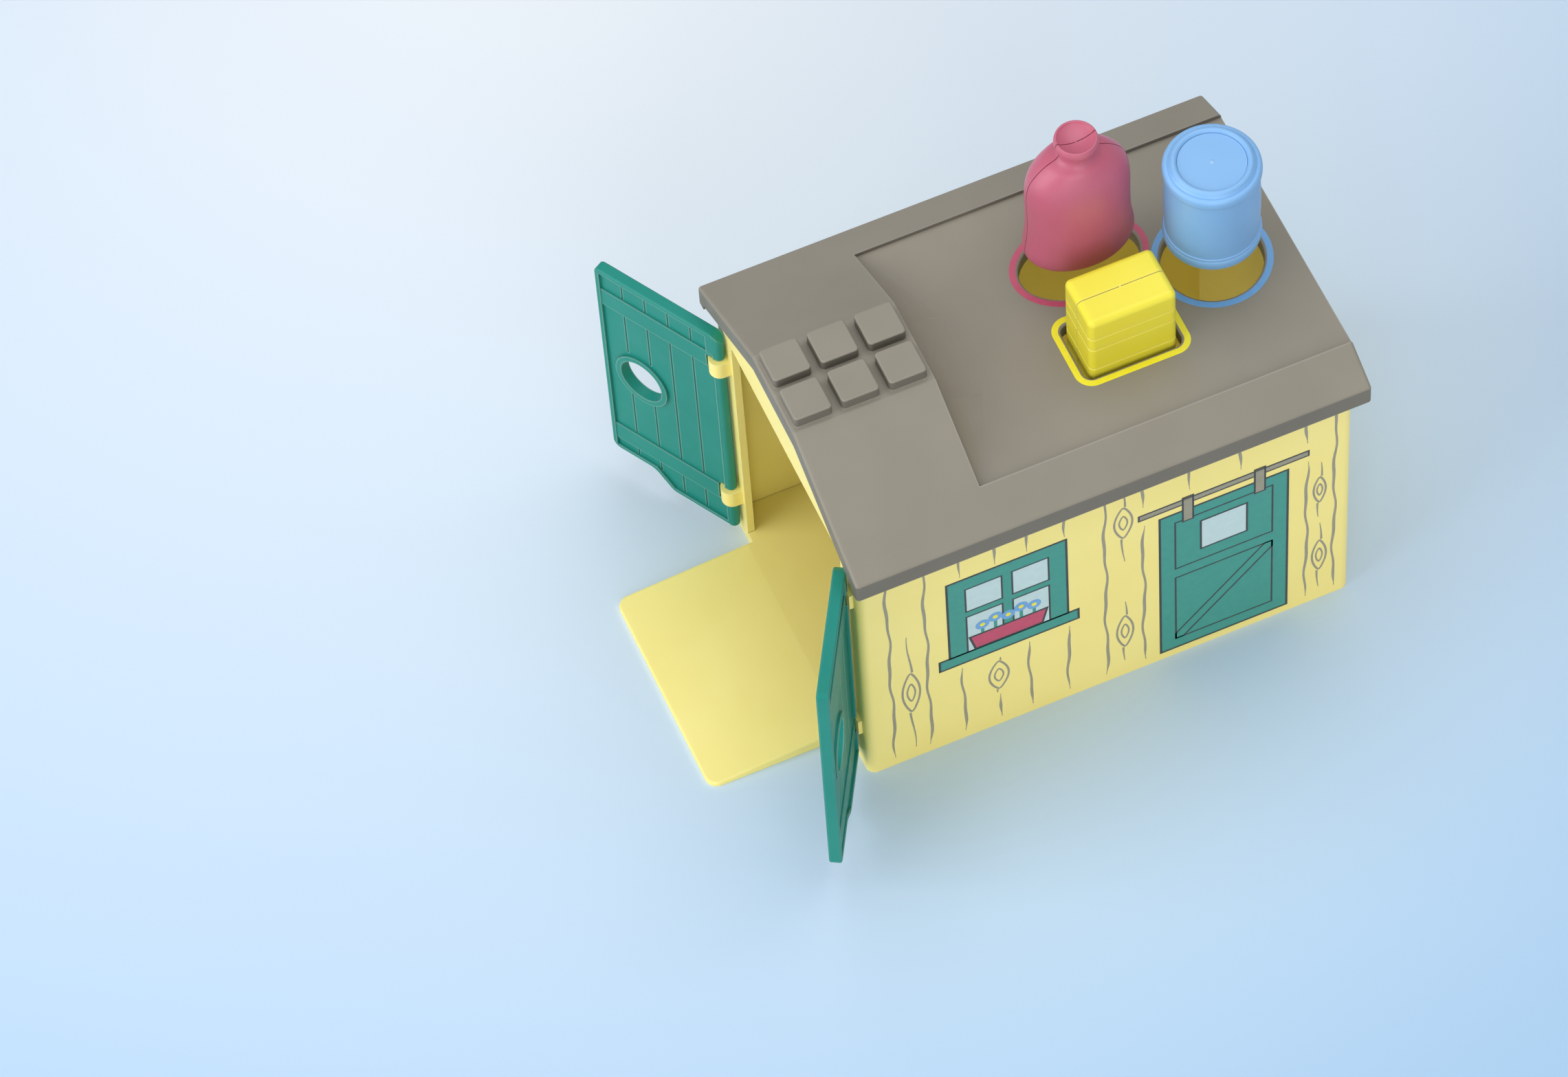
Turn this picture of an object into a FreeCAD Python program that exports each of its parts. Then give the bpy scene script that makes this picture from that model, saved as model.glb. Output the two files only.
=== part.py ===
import FreeCAD, Part
import math
import os
import Sketcher
from FreeCAD import Placement, Rotation, Vector

# Sizes in millimetres (angles in degrees): name, value, what it is
SIZES = (
    ("wall_width", 125.0, "outside width of the walls"),
    ("wall_length", 190.5, "outside length of the walls"),
    ("wall_thickness", 2.8, "thickness of the four walls"),
    ("wall_corner", 3.3, "radius of the upright wall corners"),
    ("doorway_width", 96.0, "clear width of the doorway"),
    ("post_least", 10.5, "least width of the wall beside the doorway"),
    ("doorway_height", 125.8, "lintel above the ground"),
    ("doorway_corner", 2.0, "radius of the lintel corners"),
    ("eave_height", 136.8, "top edge of the eaves above the ground"),
    ("lintel_least", 9.0, "least height from the lintel to the eaves"),
    ("roof_rise", 25.6, "ridge above the eaves"),
    ("ridge_width", 35.6, "width of the flat ridge"),
    ("side_overhang", 7.5, "roof past the side walls"),
    ("front_overhang", 2.9, "roof past the front wall"),
    ("back_overhang", 3.3, "roof past the back wall"),
    ("roof_skin", 2.8, "upright thickness of the roof"),
    ("fascia_height", 8.3, "depth of the eave rails"),
    ("fascia_thickness", 4.5, "thickness of the eave rails"),
    ("lip_depth", 8.0, "depth of the gable lips"),
    ("roof_edge", 1.3, "rounding of the roof edges"),
    ("seat_gap", 0.15, "air between roof, floor and walls"),
    ("recess_width", 108.0, "width of the sunk sorting panel"),
    ("recess_setback", 53.9, "front of the sunk panel behind the roof front"),
    ("recess_rise", 2.0, "rise from the sunk panel to the roof beside it"),
    ("border_least", 12.0, "least width of the roof beside the sunk panel"),
    ("panel_thickness", 2.5, "thickness of the sunk panel"),
    ("cove_run", 17.5, "length of the hollow curve in front of the panel"),
    ("tile_side", 14.3, "side of a raised roof tile"),
    ("tile_pitch", 17.95, "distance from tile to tile"),
    ("tile_height", 4.8, "height of a tile above the ridge"),
    ("tile_corner", 1.5, "corner radius of a tile"),
    ("tile_edge", 0.7, "rounding of the tile tops"),
    ("tile_foot", 0.5, "hollow rounding at the foot of the tiles"),
    ("tile_setback", 8.9, "middle of the first tiles behind the roof front"),
    ("collar_depth", 6.0, "depth of the sorting holes"),
    ("collar_wall", 1.8, "wall of the collars below the sorting holes"),
    ("hole_edge", 0.9, "rounding of the sorting holes"),
    ("clear_across", 1.3, "air beside a block in its hole, across the house"),
    ("clear_along", 2.0, "air beside a block in its hole, along the house"),
    ("hook_thickness", 1.8, "thickness of a snap hook"),
    ("hook_width", 12.0, "width of a snap hook"),
    ("hook_side_gap", 1.0, "ledge past the side of its hook"),
    ("hook_barb", 0.9, "barb of a snap hook"),
    ("hook_place", 60.0, "snap hooks from the middle of the house"),
    ("hook_gap", 0.3, "air between a hook and its ledge"),
    ("ledge_reach", 1.5, "ledge for a hook, from the wall"),
    ("ledge_height", 2.5, "height of a ledge"),
    ("roof_ledge_drop", 8.0, "roof ledges below the eave height"),
    ("floor_ledge_rise", 4.0, "floor ledges above the floor"),
    ("floor_top", 5.5, "floor above the ground"),
    ("floor_skin", 2.2, "thickness of the floor between its ribs"),
    ("floor_rib", 2.4, "thickness of the ribs below the floor"),
    ("floor_boss", 9.0, "radius of the round pad in the middle of the floor"),
    ("ramp_width", 88.0, "width of the ramp"),
    ("ramp_reach", 54.6, "ramp in front of the front wall"),
    ("ramp_tip", 1.8, "thickness of the ramp at its front edge"),
    ("ramp_corner", 4.5, "radius of the ramp corners"),
    ("ramp_edge", 0.8, "rounding of the ramp edges"),
    ("hinge_inset", 8.4, "hinge axis inside the outer wall face"),
    ("hinge_reach", 2.65, "hinge axis in front of the front wall"),
    ("pin_radius", 1.6, "radius of the hinge pins"),
    ("pin_clearance", 0.05, "air around a hinge pin"),
    ("lug_radius", 4.0, "outer radius of a hinge lug"),
    ("lug_height", 8.0, "height of a hinge lug"),
    ("lug_mouth", 2.4, "width of the snap-in slot of a lug"),
    ("lug_upper", 105.8, "upper lugs above the ground"),
    ("lug_lower", 22.3, "lower lugs above the ground"),
    ("notch_gap", 0.38, "air between a lug and the notch of the door"),
    ("door_angle", 150.0, "angle at which the doors stand open"),
    ("door_meeting_gap", 1.4, "gap between the closed doors"),
    ("door_thickness", 4.6, "thickness of a door"),
    ("door_top", 128.2, "top of the doors above the ground"),
    ("door_bottom", 6.8, "bottom of the doors above the ground"),
    ("door_step", 7.8, "rise of the bottom edge near the middle"),
    ("door_step_from", 26.3, "start of that rise from the hinge axis"),
    ("door_step_run", 8.0, "length of that rise"),
    ("door_corner", 3.6, "radius of the door corners"),
    ("door_top_corner", 2.1, "radius of the upper free corner of a door"),
    ("step_hollow", 5.4, "radius of the hollow end of that rise"),
    ("hinge_corner", 5.0, "radius of the upper corner at the hinge"),
    ("knuckle_inset", 0.12, "rounded hinge edge below the door faces"),
    ("door_edge", 0.7, "rounding of the door edges"),
    ("door_border", 2.0, "width of the raised door border"),
    ("panel_depth", 1.1, "planks below the border"),
    ("rail_depth", 0.35, "cross rails below the border"),
    ("rail_height", 9.3, "height of a cross rail"),
    ("rail_upper", 107.0, "bottom of the upper rail above the ground"),
    ("rail_lower", 21.2, "bottom of the lower rail above the ground"),
    ("plank_first", 11.4, "first plank joint from the hinge axis"),
    ("plank_pitch", 10.22, "width of a plank"),
    ("joint_width", 0.7, "width of a plank joint"),
    ("joint_depth", 0.4, "depth of a plank joint"),
    ("window_offset", 17.05, "middle of the oval window from the free edge of its door"),
    ("window_height", 69.9, "middle of the oval window above the ground"),
    ("window_across", 9.2, "half width of the window"),
    ("window_upright", 10.4, "half height of the window"),
    ("window_rim", 2.4, "width of the raised window rim"),
    ("sack_x", -19.35, "sack and its hole across the house"),
    ("sack_y", 27.05, "sack and its hole along the house"),
    ("sack_bottom", 11.95, "bottom of the sack above the sunk panel"),
    ("sack_height", 61.4, "height of the sack"),
    ("sack_half_length", 20.5, "half length of the sack"),
    ("sack_flatness", 0.69, "width of the sack over its length"),
    ("sack_knob", 7.9, "radius of the tied top of the sack"),
    ("dish_radius", 6.9, "radius of the dish in the tied top"),
    ("dish_depth", 2.3, "depth of the dish in the tied top"),
    ("block_wall", 2.0, "wall of the hollow blocks"),
    ("seam_groove", 0.3, "width of the seam lines of the blocks"),
    ("bale_x", 16.3, "bale and its hole across the house"),
    ("bale_y", 26.95, "bale and its hole along the house"),
    ("bale_top", 30.3, "top of the bale above the sunk panel"),
    ("bale_width", 22.24, "width of the bale"),
    ("bale_length", 33.54, "length of the bale"),
    ("bale_height", 43.0, "height of the bale"),
    ("bale_edge", 2.4, "rounding of the bale edges"),
    ("strap_depth", 0.45, "depth of the lines around the bale"),
    ("strap_line", 0.6, "width of the lines around the bale"),
    ("strap_bevel", 0.35, "bevel below the lines around the bale"),
    ("strap_first", 9.35, "first line below the top of the bale"),
    ("strap_second", 15.75, "second line below the top of the bale"),
    ("barrel_x", -0.4, "barrel and its hole across the house"),
    ("barrel_y", 69.9, "barrel and its hole along the house"),
    ("barrel_bottom", 14.45, "bottom of the barrel above the sunk panel"),
    ("barrel_height", 44.2, "height of the barrel"),
    ("barrel_radius", 17.1, "largest radius of the barrel"),
    ("barrel_rim", 14.8, "radius of the barrel rims"),
    ("rim_bead", 0.9, "height of the rounded rims"),
    ("hoop_foot", 15.5, "radius where a hoop leaves its rim"),
    ("hoop_start", 1.7, "hoops from the ends of the barrel"),
    ("hoop_width", 5.8, "width of the barrel hoops"),
    ("hoop_step", 0.45, "hoops above the barrel staves"),
    ("lid_radius", 12.2, "radius of the sunk barrel lid"),
    ("lid_sink", 1.1, "barrel lid below the rim"),
    ("lid_thickness", 2.0, "thickness of the barrel lid"),
    ("lid_gap", 0.1, "air around the barrel lid"),
)

doc = FreeCAD.newDocument("toy_farmhouse")
sheet = doc.addObject("Spreadsheet::Sheet", "Sizes")
for row, (alias, value, meaning) in enumerate(SIZES, start=1):
    sheet.set(f"A{row}", alias)
    sheet.set(f"B{row}", str(value))
    sheet.set(f"C{row}", meaning)
    sheet.setAlias(f"B{row}", alias)
doc.recompute()


class Size:
    """A number together with the sheet formula that it comes from."""

    def __init__(self, value, formula=None):
        self.value = float(value)
        self.formula = formula or repr(float(value))

    def join(self, other, sign, result):
        return Size(result, f"({self.formula} {sign} {other.formula})")

    def __add__(self, other):
        other = as_size(other)
        return self.join(other, "+", self.value + other.value)

    def __sub__(self, other):
        other = as_size(other)
        return self.join(other, "-", self.value - other.value)

    def __mul__(self, other):
        other = as_size(other)
        return self.join(other, "*", self.value * other.value)

    def __truediv__(self, other):
        other = as_size(other)
        return self.join(other, "/", self.value / other.value)

    def __radd__(self, other):
        return as_size(other) + self

    def __rsub__(self, other):
        return as_size(other) - self

    def __rmul__(self, other):
        return as_size(other) * self

    def __neg__(self):
        return as_size(0.0) - self


class SheetSizes:
    """Gives each named cell of the sheet as a Size."""

    def __getattr__(self, alias):
        return Size(sheet.get(alias), f"Sizes.{alias}")


def as_size(number):
    return number if isinstance(number, Size) else Size(number)


def larger(first, second):
    """The larger of two sizes, whichever it is after a change."""
    return Size(max(first.value, second.value), f"max({first.formula}; {second.formula})")


s = SheetSizes()

# Sizes that follow from the sheet
HALF_DOORWAY = s.doorway_width / 2
HALF_WALL = larger(s.wall_width / 2, HALF_DOORWAY + s.post_least)
WALL_FRONT = -(s.wall_length / 2)
WALL_BACK = s.wall_length / 2
WALL_INSIDE = HALF_WALL - s.wall_thickness
HALF_RECESS = s.recess_width / 2
HALF_EAVE = larger(HALF_WALL + s.side_overhang, HALF_RECESS + s.border_least)
EAVE = larger(s.eave_height, s.doorway_height + s.lintel_least)
HALF_RIDGE = s.ridge_width / 2
EAVE_INSIDE = HALF_EAVE - s.fascia_thickness
RIDGE_TOP = EAVE + s.roof_rise
SLOPE = s.roof_rise / (HALF_EAVE - HALF_RIDGE)
ROOF_FRONT = WALL_FRONT - s.front_overhang
ROOF_BACK = WALL_BACK + s.back_overhang
ROOF_LENGTH = ROOF_BACK - ROOF_FRONT
FASCIA_BOTTOM = EAVE - s.fascia_height
RECESS_FRONT = ROOF_FRONT + s.recess_setback
PANEL_TOP = EAVE + SLOPE * (HALF_EAVE - HALF_RECESS) - s.recess_rise
PANEL_BOTTOM = PANEL_TOP - s.panel_thickness
HOLE_BOTTOM = PANEL_TOP - s.collar_depth
HOOK_OUTSIDE = WALL_INSIDE - s.ledge_reach - s.hook_gap
HOOK_INSIDE = HOOK_OUTSIDE - s.hook_thickness
ROOF_LEDGE = EAVE - s.roof_ledge_drop
FLOOR_LEDGE = s.floor_top + s.floor_ledge_rise
HALF_FLOOR = WALL_INSIDE - s.seat_gap
FLOOR_FRONT = WALL_FRONT + s.wall_thickness + s.seat_gap
FLOOR_BACK = WALL_BACK - s.wall_thickness - s.seat_gap
HALF_RAMP = s.ramp_width / 2
RAMP_FRONT = WALL_FRONT - s.ramp_reach
HINGE_X = HALF_WALL - s.hinge_inset
HINGE_Y = WALL_FRONT - s.hinge_reach
LUG_BOTTOMS = (s.lug_upper, s.lug_lower)
HALF_DOOR = s.door_thickness / 2
DOOR_WIDTH = HINGE_X - s.door_meeting_gap / 2
WINDOW_X = DOOR_WIDTH - s.window_offset
NOTCH_END = s.lug_radius + s.notch_gap
SACK_HALF_WIDTH = s.sack_half_length * s.sack_flatness
SACK_HOLE = (SACK_HALF_WIDTH + s.clear_across, s.sack_half_length + s.clear_along)
BALE_HOLE = (s.bale_width / 2 + s.clear_across, s.bale_length / 2 + s.clear_along)
BARREL_HOLE = s.barrel_radius + s.clear_across
SACK_BOTTOM = PANEL_TOP + s.sack_bottom
BALE_TOP = PANEL_TOP + s.bale_top
BALE_BOTTOM = BALE_TOP - s.bale_height
BARREL_BOTTOM = PANEL_TOP + s.barrel_bottom
OVERLAP = as_size(0.4)
OVERCUT = as_size(0.04)
BEYOND = as_size(2.0)
ZERO = as_size(0.0)
LEFT, RIGHT = -1, 1


def roof_top(across):
    """Height of the roof slope at a distance from the middle."""
    return EAVE + SLOPE * (HALF_EAVE - across)


# Drawing helpers
def add_body(label):
    body = doc.addObject("PartDesign::Body", label)
    body.Label = label
    return body


def add_sketch(body, name, role, lift=ZERO):
    """Sketch on an origin plane of the body, lifted along the plane's normal."""
    sketch = body.newObject("Sketcher::SketchObject", name)
    support = [plane for plane in body.Origin.OriginFeatures if plane.Role == role]
    sketch.AttachmentSupport = [(support[0], "")]
    sketch.MapMode = "FlatFace"
    sketch.setExpression("AttachmentOffset.Base.z", lift.formula)
    return sketch


def pin(sketch, kind, geometry, point, coordinate):
    """Fix one coordinate of a point of the sketch at a sheet formula."""
    number = sketch.addConstraint(Sketcher.Constraint(kind, -1, 1, geometry, point, coordinate.value))
    sketch.setExpression(f"Constraints[{number}]", coordinate.formula)


def pin_point(sketch, geometry, point, x, y):
    pin(sketch, "DistanceX", geometry, point, x)
    pin(sketch, "DistanceY", geometry, point, y)


def pin_length(sketch, kind, geometry, length):
    number = sketch.addConstraint(Sketcher.Constraint(kind, geometry, length.value))
    sketch.setExpression(f"Constraints[{number}]", length.formula)


def flat(x, y):
    return Vector(x.value, y.value, 0)


def polygon(sketch, corners, arcs=None):
    """Closed outline of straight lines; arcs names the centre where a side is round."""
    first = sketch.GeometryCount
    corners = [(as_size(x), as_size(y)) for x, y in corners]
    arcs = arcs or {}
    count = len(corners)
    ends = []
    for i in range(count):
        start = flat(*corners[i])
        end = flat(*corners[(i + 1) % count])
        ends.append((1, 2))
        if i in arcs:
            ends[i] = add_arc(sketch, flat(*arcs[i]), start, end)
        else:
            sketch.addGeometry(Part.LineSegment(start, end))
    for i, (x, y) in enumerate(corners):
        following = (i + 1) % count
        meeting = (first + i, ends[i][1], first + following, ends[following][0])
        sketch.addConstraint(Sketcher.Constraint("Coincident", *meeting))
        pin_point(sketch, first + i, ends[i][0], x, y)
    for i, (x, y) in arcs.items():
        chord = flat(*corners[(i + 1) % count]) - flat(*corners[i])
        if abs(chord.x) > abs(chord.y):
            pin(sketch, "DistanceY", first + i, 3, y)
        else:
            pin(sketch, "DistanceX", first + i, 3, x)


def add_arc(sketch, centre, start, end):
    """Arc between two points; returns which of its ends is which."""
    angles = [math.atan2(point.y - centre.y, point.x - centre.x) for point in (start, end)]
    ring = Part.Circle(centre, Vector(0, 0, 1), (start - centre).Length)
    turn = (angles[1] - angles[0]) % (2 * math.pi)
    if turn < math.pi:
        sketch.addGeometry(Part.ArcOfCircle(ring, angles[0], angles[0] + turn))
        return 1, 2
    sketch.addGeometry(Part.ArcOfCircle(ring, angles[1], angles[1] + 2 * math.pi - turn))
    return 2, 1


def rectangle(sketch, left, right, low, high):
    polygon(sketch, [(left, low), (right, low), (right, high), (left, high)])


def mirrored(half):
    """Outline from its right half, listed from bottom to top."""
    return half + [(-as_size(x), y) for x, y in reversed(half)]


def circle(sketch, x, y, radius):
    middle = flat(as_size(x), as_size(y))
    number = sketch.addGeometry(Part.Circle(middle, Vector(0, 0, 1), radius.value))
    pin_point(sketch, number, 3, as_size(x), as_size(y))
    pin_length(sketch, "Radius", number, radius)


def upright_ellipse(sketch, x, y, half_x, half_y):
    """Ellipse whose longer axis is upright in the sketch."""
    middle = flat(x, y)
    shape = Part.Ellipse(middle + Vector(0, half_y.value, 0), middle - Vector(half_x.value, 0, 0), middle)
    number = sketch.addGeometry(shape)
    sketch.exposeInternalGeometry(number)
    pin_point(sketch, number, 3, x, y)
    sketch.addConstraint(Sketcher.Constraint("Vertical", number + 1))
    pin_length(sketch, "Distance", number + 1, 2 * half_y)
    pin_length(sketch, "Distance", number + 2, 2 * half_x)


def rounded_rectangle(sketch, x, y, half_x, half_y, radius):
    """Rectangle with four tangent corner arcs."""
    first = sketch.GeometryCount
    quarter = math.pi / 2
    signs = ((1, -1), (1, 1), (-1, 1), (-1, -1))
    centres = [(x + sx * (half_x - radius), y + sy * (half_y - radius)) for sx, sy in signs]
    for i, centre in enumerate(centres):
        ring = Part.Circle(flat(*centre), Vector(0, 0, 1), radius.value)
        sketch.addGeometry(Part.ArcOfCircle(ring, (i - 1) * quarter, i * quarter))
    for i in range(4):
        start = sketch.Geometry[first + i].EndPoint
        end = sketch.Geometry[first + (i + 1) % 4].StartPoint
        sketch.addGeometry(Part.LineSegment(start, end))
    for i, centre in enumerate(centres):
        line = first + 4 + i
        following = first + (i + 1) % 4
        sketch.addConstraint(Sketcher.Constraint("Tangent", first + i, 2, line, 1))
        sketch.addConstraint(Sketcher.Constraint("Tangent", line, 2, following, 1))
        pin_point(sketch, first + i, 3, *centre)
        pin_length(sketch, "Radius", first + i, radius)


# Feature helpers
def add_feature(body, kind, sketch, length, backward=False):
    """Pad or pocket of a sketch; stops where the volume changes the wrong way."""
    before = body.Shape.Volume if body.Tip else 0.0
    feature = body.newObject(f"PartDesign::{kind}", f"{sketch.Name}_{kind.lower()}")
    feature.Profile = sketch
    feature.setExpression("Length", as_size(length).formula)
    feature.Reversed = backward
    doc.recompute()
    grew = body.Shape.Volume > before
    if grew != (kind == "Pad"):
        raise RuntimeError(f"{feature.Name} of {body.Label} changes the volume the wrong way")
    return feature


def edge_names(body, wanted):
    edges = body.Shape.Edges
    return [f"Edge{i}" for i, edge in enumerate(edges, start=1) if wanted(edge)]


def round_edges(body, name, size, wanted, kind="Fillet"):
    """Fillet or chamfer of the edges that the test picks."""
    names = edge_names(body, wanted)
    if not names:
        raise RuntimeError(f"no edge to round for {name}")
    previous = body.Tip
    feature = body.newObject(f"PartDesign::{kind}", name)
    feature.Base = (previous, names)
    feature.setExpression("Radius" if kind == "Fillet" else "Size", size.formula)
    doc.recompute()
    if not body.Shape.isValid():
        raise RuntimeError(f"{name} of {body.Label} leaves no valid solid")
    return feature


def near(value, target, tolerance=0.02):
    return abs(value - target.value) < tolerance


def middle_of(edge):
    return edge.valueAt((edge.FirstParameter + edge.LastParameter) / 2)


def runs_along(edge, axis):
    """True for a straight edge along X, Y or Z (0, 1 or 2)."""
    ends = [vertex.Point for vertex in edge.Vertexes]
    if len(ends) != 2 or edge.Curve.TypeId != "Part::GeomLine":
        return False
    step = ends[1] - ends[0]
    return abs(step[axis]) > 0.999 * step.Length


# Walls: a tube with a gable front, a low back, a doorway, hinge lugs and ledges
def underside(across):
    return roof_top(across) - s.roof_skin


def add_boxes(body, name, spans_x, spans_y, low, height):
    """Row of upright boxes drawn in one sketch."""
    sketch = add_sketch(body, name, "XY_Plane", low)
    for left, right in spans_x:
        for front, back in spans_y:
            rectangle(sketch, left, right, front, back)
    return add_feature(body, "Pad", sketch, height)


def both_sides(inner, outer):
    """Spans of X on the right and on the left of the house."""
    return [(inner, outer), (-outer, -inner)]


def around(places, half):
    return [(place - half, place + half) for place in places]


def make_walls():
    body = add_body("wall_shell")
    sketch = add_sketch(body, "gable_outline", "XZ_Plane", -WALL_FRONT)
    ridge = (HALF_RIDGE, RIDGE_TOP - s.roof_skin - s.seat_gap)
    outline = [(HALF_WALL, 0), (HALF_WALL, underside(HALF_WALL) - s.seat_gap), ridge]
    polygon(sketch, mirrored(outline))
    add_feature(body, "Pad", sketch, s.wall_length, backward=True)
    round_edges(body, "wall_corners", s.wall_corner, lambda edge: runs_along(edge, 2))

    sketch = add_sketch(body, "low_back", "XY_Plane", PANEL_BOTTOM - s.seat_gap)
    rectangle(sketch, -HALF_WALL, HALF_WALL, 0, WALL_BACK + BEYOND)
    add_feature(body, "Pocket", sketch, s.roof_rise + BEYOND, backward=True)

    sketch = add_sketch(body, "room", "XY_Plane")
    rectangle(sketch, -WALL_INSIDE, WALL_INSIDE, WALL_FRONT + s.wall_thickness, WALL_BACK - s.wall_thickness)
    add_feature(body, "Pocket", sketch, RIDGE_TOP, backward=True)

    sketch = add_sketch(body, "doorway", "XZ_Plane", -WALL_FRONT + BEYOND)
    rectangle(sketch, -HALF_DOORWAY, HALF_DOORWAY, -BEYOND, s.doorway_height)
    add_feature(body, "Pocket", sketch, s.wall_thickness + 2 * BEYOND)

    def lintel_corner(edge):
        point = middle_of(edge)
        return runs_along(edge, 1) and near(point.z, s.doorway_height) and near(abs(point.x), HALF_DOORWAY)

    round_edges(body, "lintel_corners", s.doorway_corner, lintel_corner)
    for name, low in zip(("upper", "lower"), LUG_BOTTOMS):
        add_lugs(body, name, low)
    ledges = both_sides(WALL_INSIDE - s.ledge_reach, WALL_INSIDE + OVERLAP)
    spans = around((s.hook_place, -s.hook_place), s.hook_width / 2 + s.hook_side_gap)
    add_boxes(body, "roof_ledges", ledges, spans, ROOF_LEDGE, s.ledge_height)
    add_boxes(body, "floor_ledges", ledges, spans, FLOOR_LEDGE, s.ledge_height)
    return body


def add_lugs(body, name, low):
    """Pair of open rings on the door posts; the slots face outward."""
    hinges = (HINGE_X, -HINGE_X)
    arms = around(hinges, s.lug_radius)
    add_boxes(body, f"{name}_lug_arms", arms, [(HINGE_Y, WALL_FRONT + OVERLAP)], low, s.lug_height)
    sketch = add_sketch(body, f"{name}_lug_rings", "XY_Plane", low)
    for x in hinges:
        circle(sketch, x, HINGE_Y, s.lug_radius)
    add_feature(body, "Pad", sketch, s.lug_height)
    sketch = add_sketch(body, f"{name}_lug_bores", "XY_Plane", low)
    for x in hinges:
        circle(sketch, x, HINGE_Y, s.pin_radius + s.pin_clearance)
    add_feature(body, "Pocket", sketch, s.lug_height, backward=True)
    sketch = add_sketch(body, f"{name}_lug_slots", "XY_Plane", low)
    half_slot = s.lug_mouth / 2
    for inner, outer in both_sides(HINGE_X, HINGE_X + s.lug_radius + BEYOND):
        rectangle(sketch, inner, outer, HINGE_Y - half_slot, HINGE_Y + half_slot)
    add_feature(body, "Pocket", sketch, s.lug_height, backward=True)


# Floor: a ribbed plate between the walls that runs out as a ramp
def make_floor():
    body = add_body("floor_ramp")
    sketch = add_sketch(body, "floor_outline", "XY_Plane")
    neck = HALF_DOORWAY - s.seat_gap
    half = [(HALF_RAMP, RAMP_FRONT), (HALF_RAMP, WALL_FRONT), (neck, WALL_FRONT), (neck, FLOOR_FRONT)]
    half += [(HALF_FLOOR, FLOOR_FRONT), (HALF_FLOOR, FLOOR_BACK)]
    polygon(sketch, mirrored(half))
    add_feature(body, "Pad", sketch, s.floor_top)
    round_edges(body, "ramp_corners", s.ramp_corner,
                lambda edge: runs_along(edge, 2) and near(middle_of(edge).y, RAMP_FRONT))

    sketch = add_sketch(body, "ramp_slope", "YZ_Plane", -HALF_RAMP - BEYOND)
    high = s.floor_top + BEYOND
    tip = RAMP_FRONT - BEYOND
    slope_end = WALL_FRONT - BEYOND
    polygon(sketch, [(tip, s.ramp_tip), (RAMP_FRONT, s.ramp_tip), (slope_end, s.floor_top), (slope_end, high),
                     (tip, high)])
    add_feature(body, "Pocket", sketch, s.ramp_width + 2 * BEYOND, backward=True)

    def ramp_edge(edge):
        points = [vertex.Point for vertex in edge.Vertexes]
        raised = all(point.z > s.ramp_tip.value - 0.05 for point in points)
        outside = all(point.y < WALL_FRONT.value + 0.05 for point in points)
        crosswise = runs_along(edge, 0) and not near(points[0].y, RAMP_FRONT)
        return raised and outside and not crosswise

    round_edges(body, "ramp_edges", s.ramp_edge, ramp_edge)

    sketch = add_sketch(body, "floor_cells", "XY_Plane")
    cell = (FLOOR_BACK - FLOOR_FRONT - 5 * s.floor_rib) / 4
    for left, right in both_sides(s.floor_rib / 2, HALF_FLOOR - s.floor_rib):
        for row in range(4):
            front = FLOOR_FRONT + s.floor_rib + row * (cell + s.floor_rib)
            rectangle(sketch, left, right, front, front + cell)
    add_feature(body, "Pocket", sketch, s.floor_top - s.floor_skin, backward=True)
    sketch = add_sketch(body, "middle_pad", "XY_Plane")
    circle(sketch, 0, 0, s.floor_boss)
    add_feature(body, "Pad", sketch, s.floor_top - s.floor_skin + OVERLAP)

    barb = FLOOR_LEDGE + s.ledge_height + s.hook_gap
    add_hooks(body, "floor", s.floor_top - OVERLAP, barb, barb + s.ledge_height)
    return body


def add_hooks(body, name, root, barb, tip):
    """Four snap hooks along the side walls: a blade each, with a wedge-shaped barb at its tip."""
    spans = around((s.hook_place, -s.hook_place), s.hook_width / 2)
    low, high = sorted((root, tip), key=lambda level: level.value)
    add_boxes(body, f"{name}_hook_blades", both_sides(HOOK_INSIDE, HOOK_OUTSIDE), spans, low, high - low)
    reach = HOOK_OUTSIDE + s.hook_barb
    for number, (front, back) in enumerate(spans):
        sketch = add_sketch(body, f"{name}_barbs_{number}", "XZ_Plane", -front)
        for sign in (LEFT, RIGHT):
            polygon(sketch, [(sign * HOOK_INSIDE, barb), (sign * reach, barb), (sign * HOOK_OUTSIDE, tip),
                             (sign * HOOK_INSIDE, tip)])
        add_feature(body, "Pad", sketch, back - front, backward=True)


# Roof: a shell with eave rails and gable lips, six tiles and the sunk sorting panel
def low_ceiling(level):
    """Right half of the ceiling below the sunk panel, whose underside is at the level."""
    bend = HALF_EAVE - (level + s.roof_skin - EAVE) / SLOPE
    return [(EAVE_INSIDE, underside(EAVE_INSIDE)), (bend, level)]


def high_ceiling(drop):
    return [(EAVE_INSIDE, roof_top(EAVE_INSIDE) - drop), (HALF_RIDGE, RIDGE_TOP - drop)]


def hollow(body, name, start, end, ceiling):
    """Cut a length of the roof from below up to a ceiling."""
    sketch = add_sketch(body, name, "XZ_Plane", -start)
    polygon(sketch, mirrored([(EAVE_INSIDE, FASCIA_BOTTOM - BEYOND)] + ceiling))
    add_feature(body, "Pocket", sketch, end - start)


def draw_holes(sketch, margin):
    """Outlines of the three sorting holes, grown by a margin."""
    upright_ellipse(sketch, s.sack_x, s.sack_y, SACK_HOLE[0] + margin, SACK_HOLE[1] + margin)
    circle(sketch, s.barrel_x, s.barrel_y, BARREL_HOLE + margin)
    corner = s.bale_edge + s.hole_edge + margin
    rounded_rectangle(sketch, s.bale_x, s.bale_y, BALE_HOLE[0] + margin, BALE_HOLE[1] + margin, corner)


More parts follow.
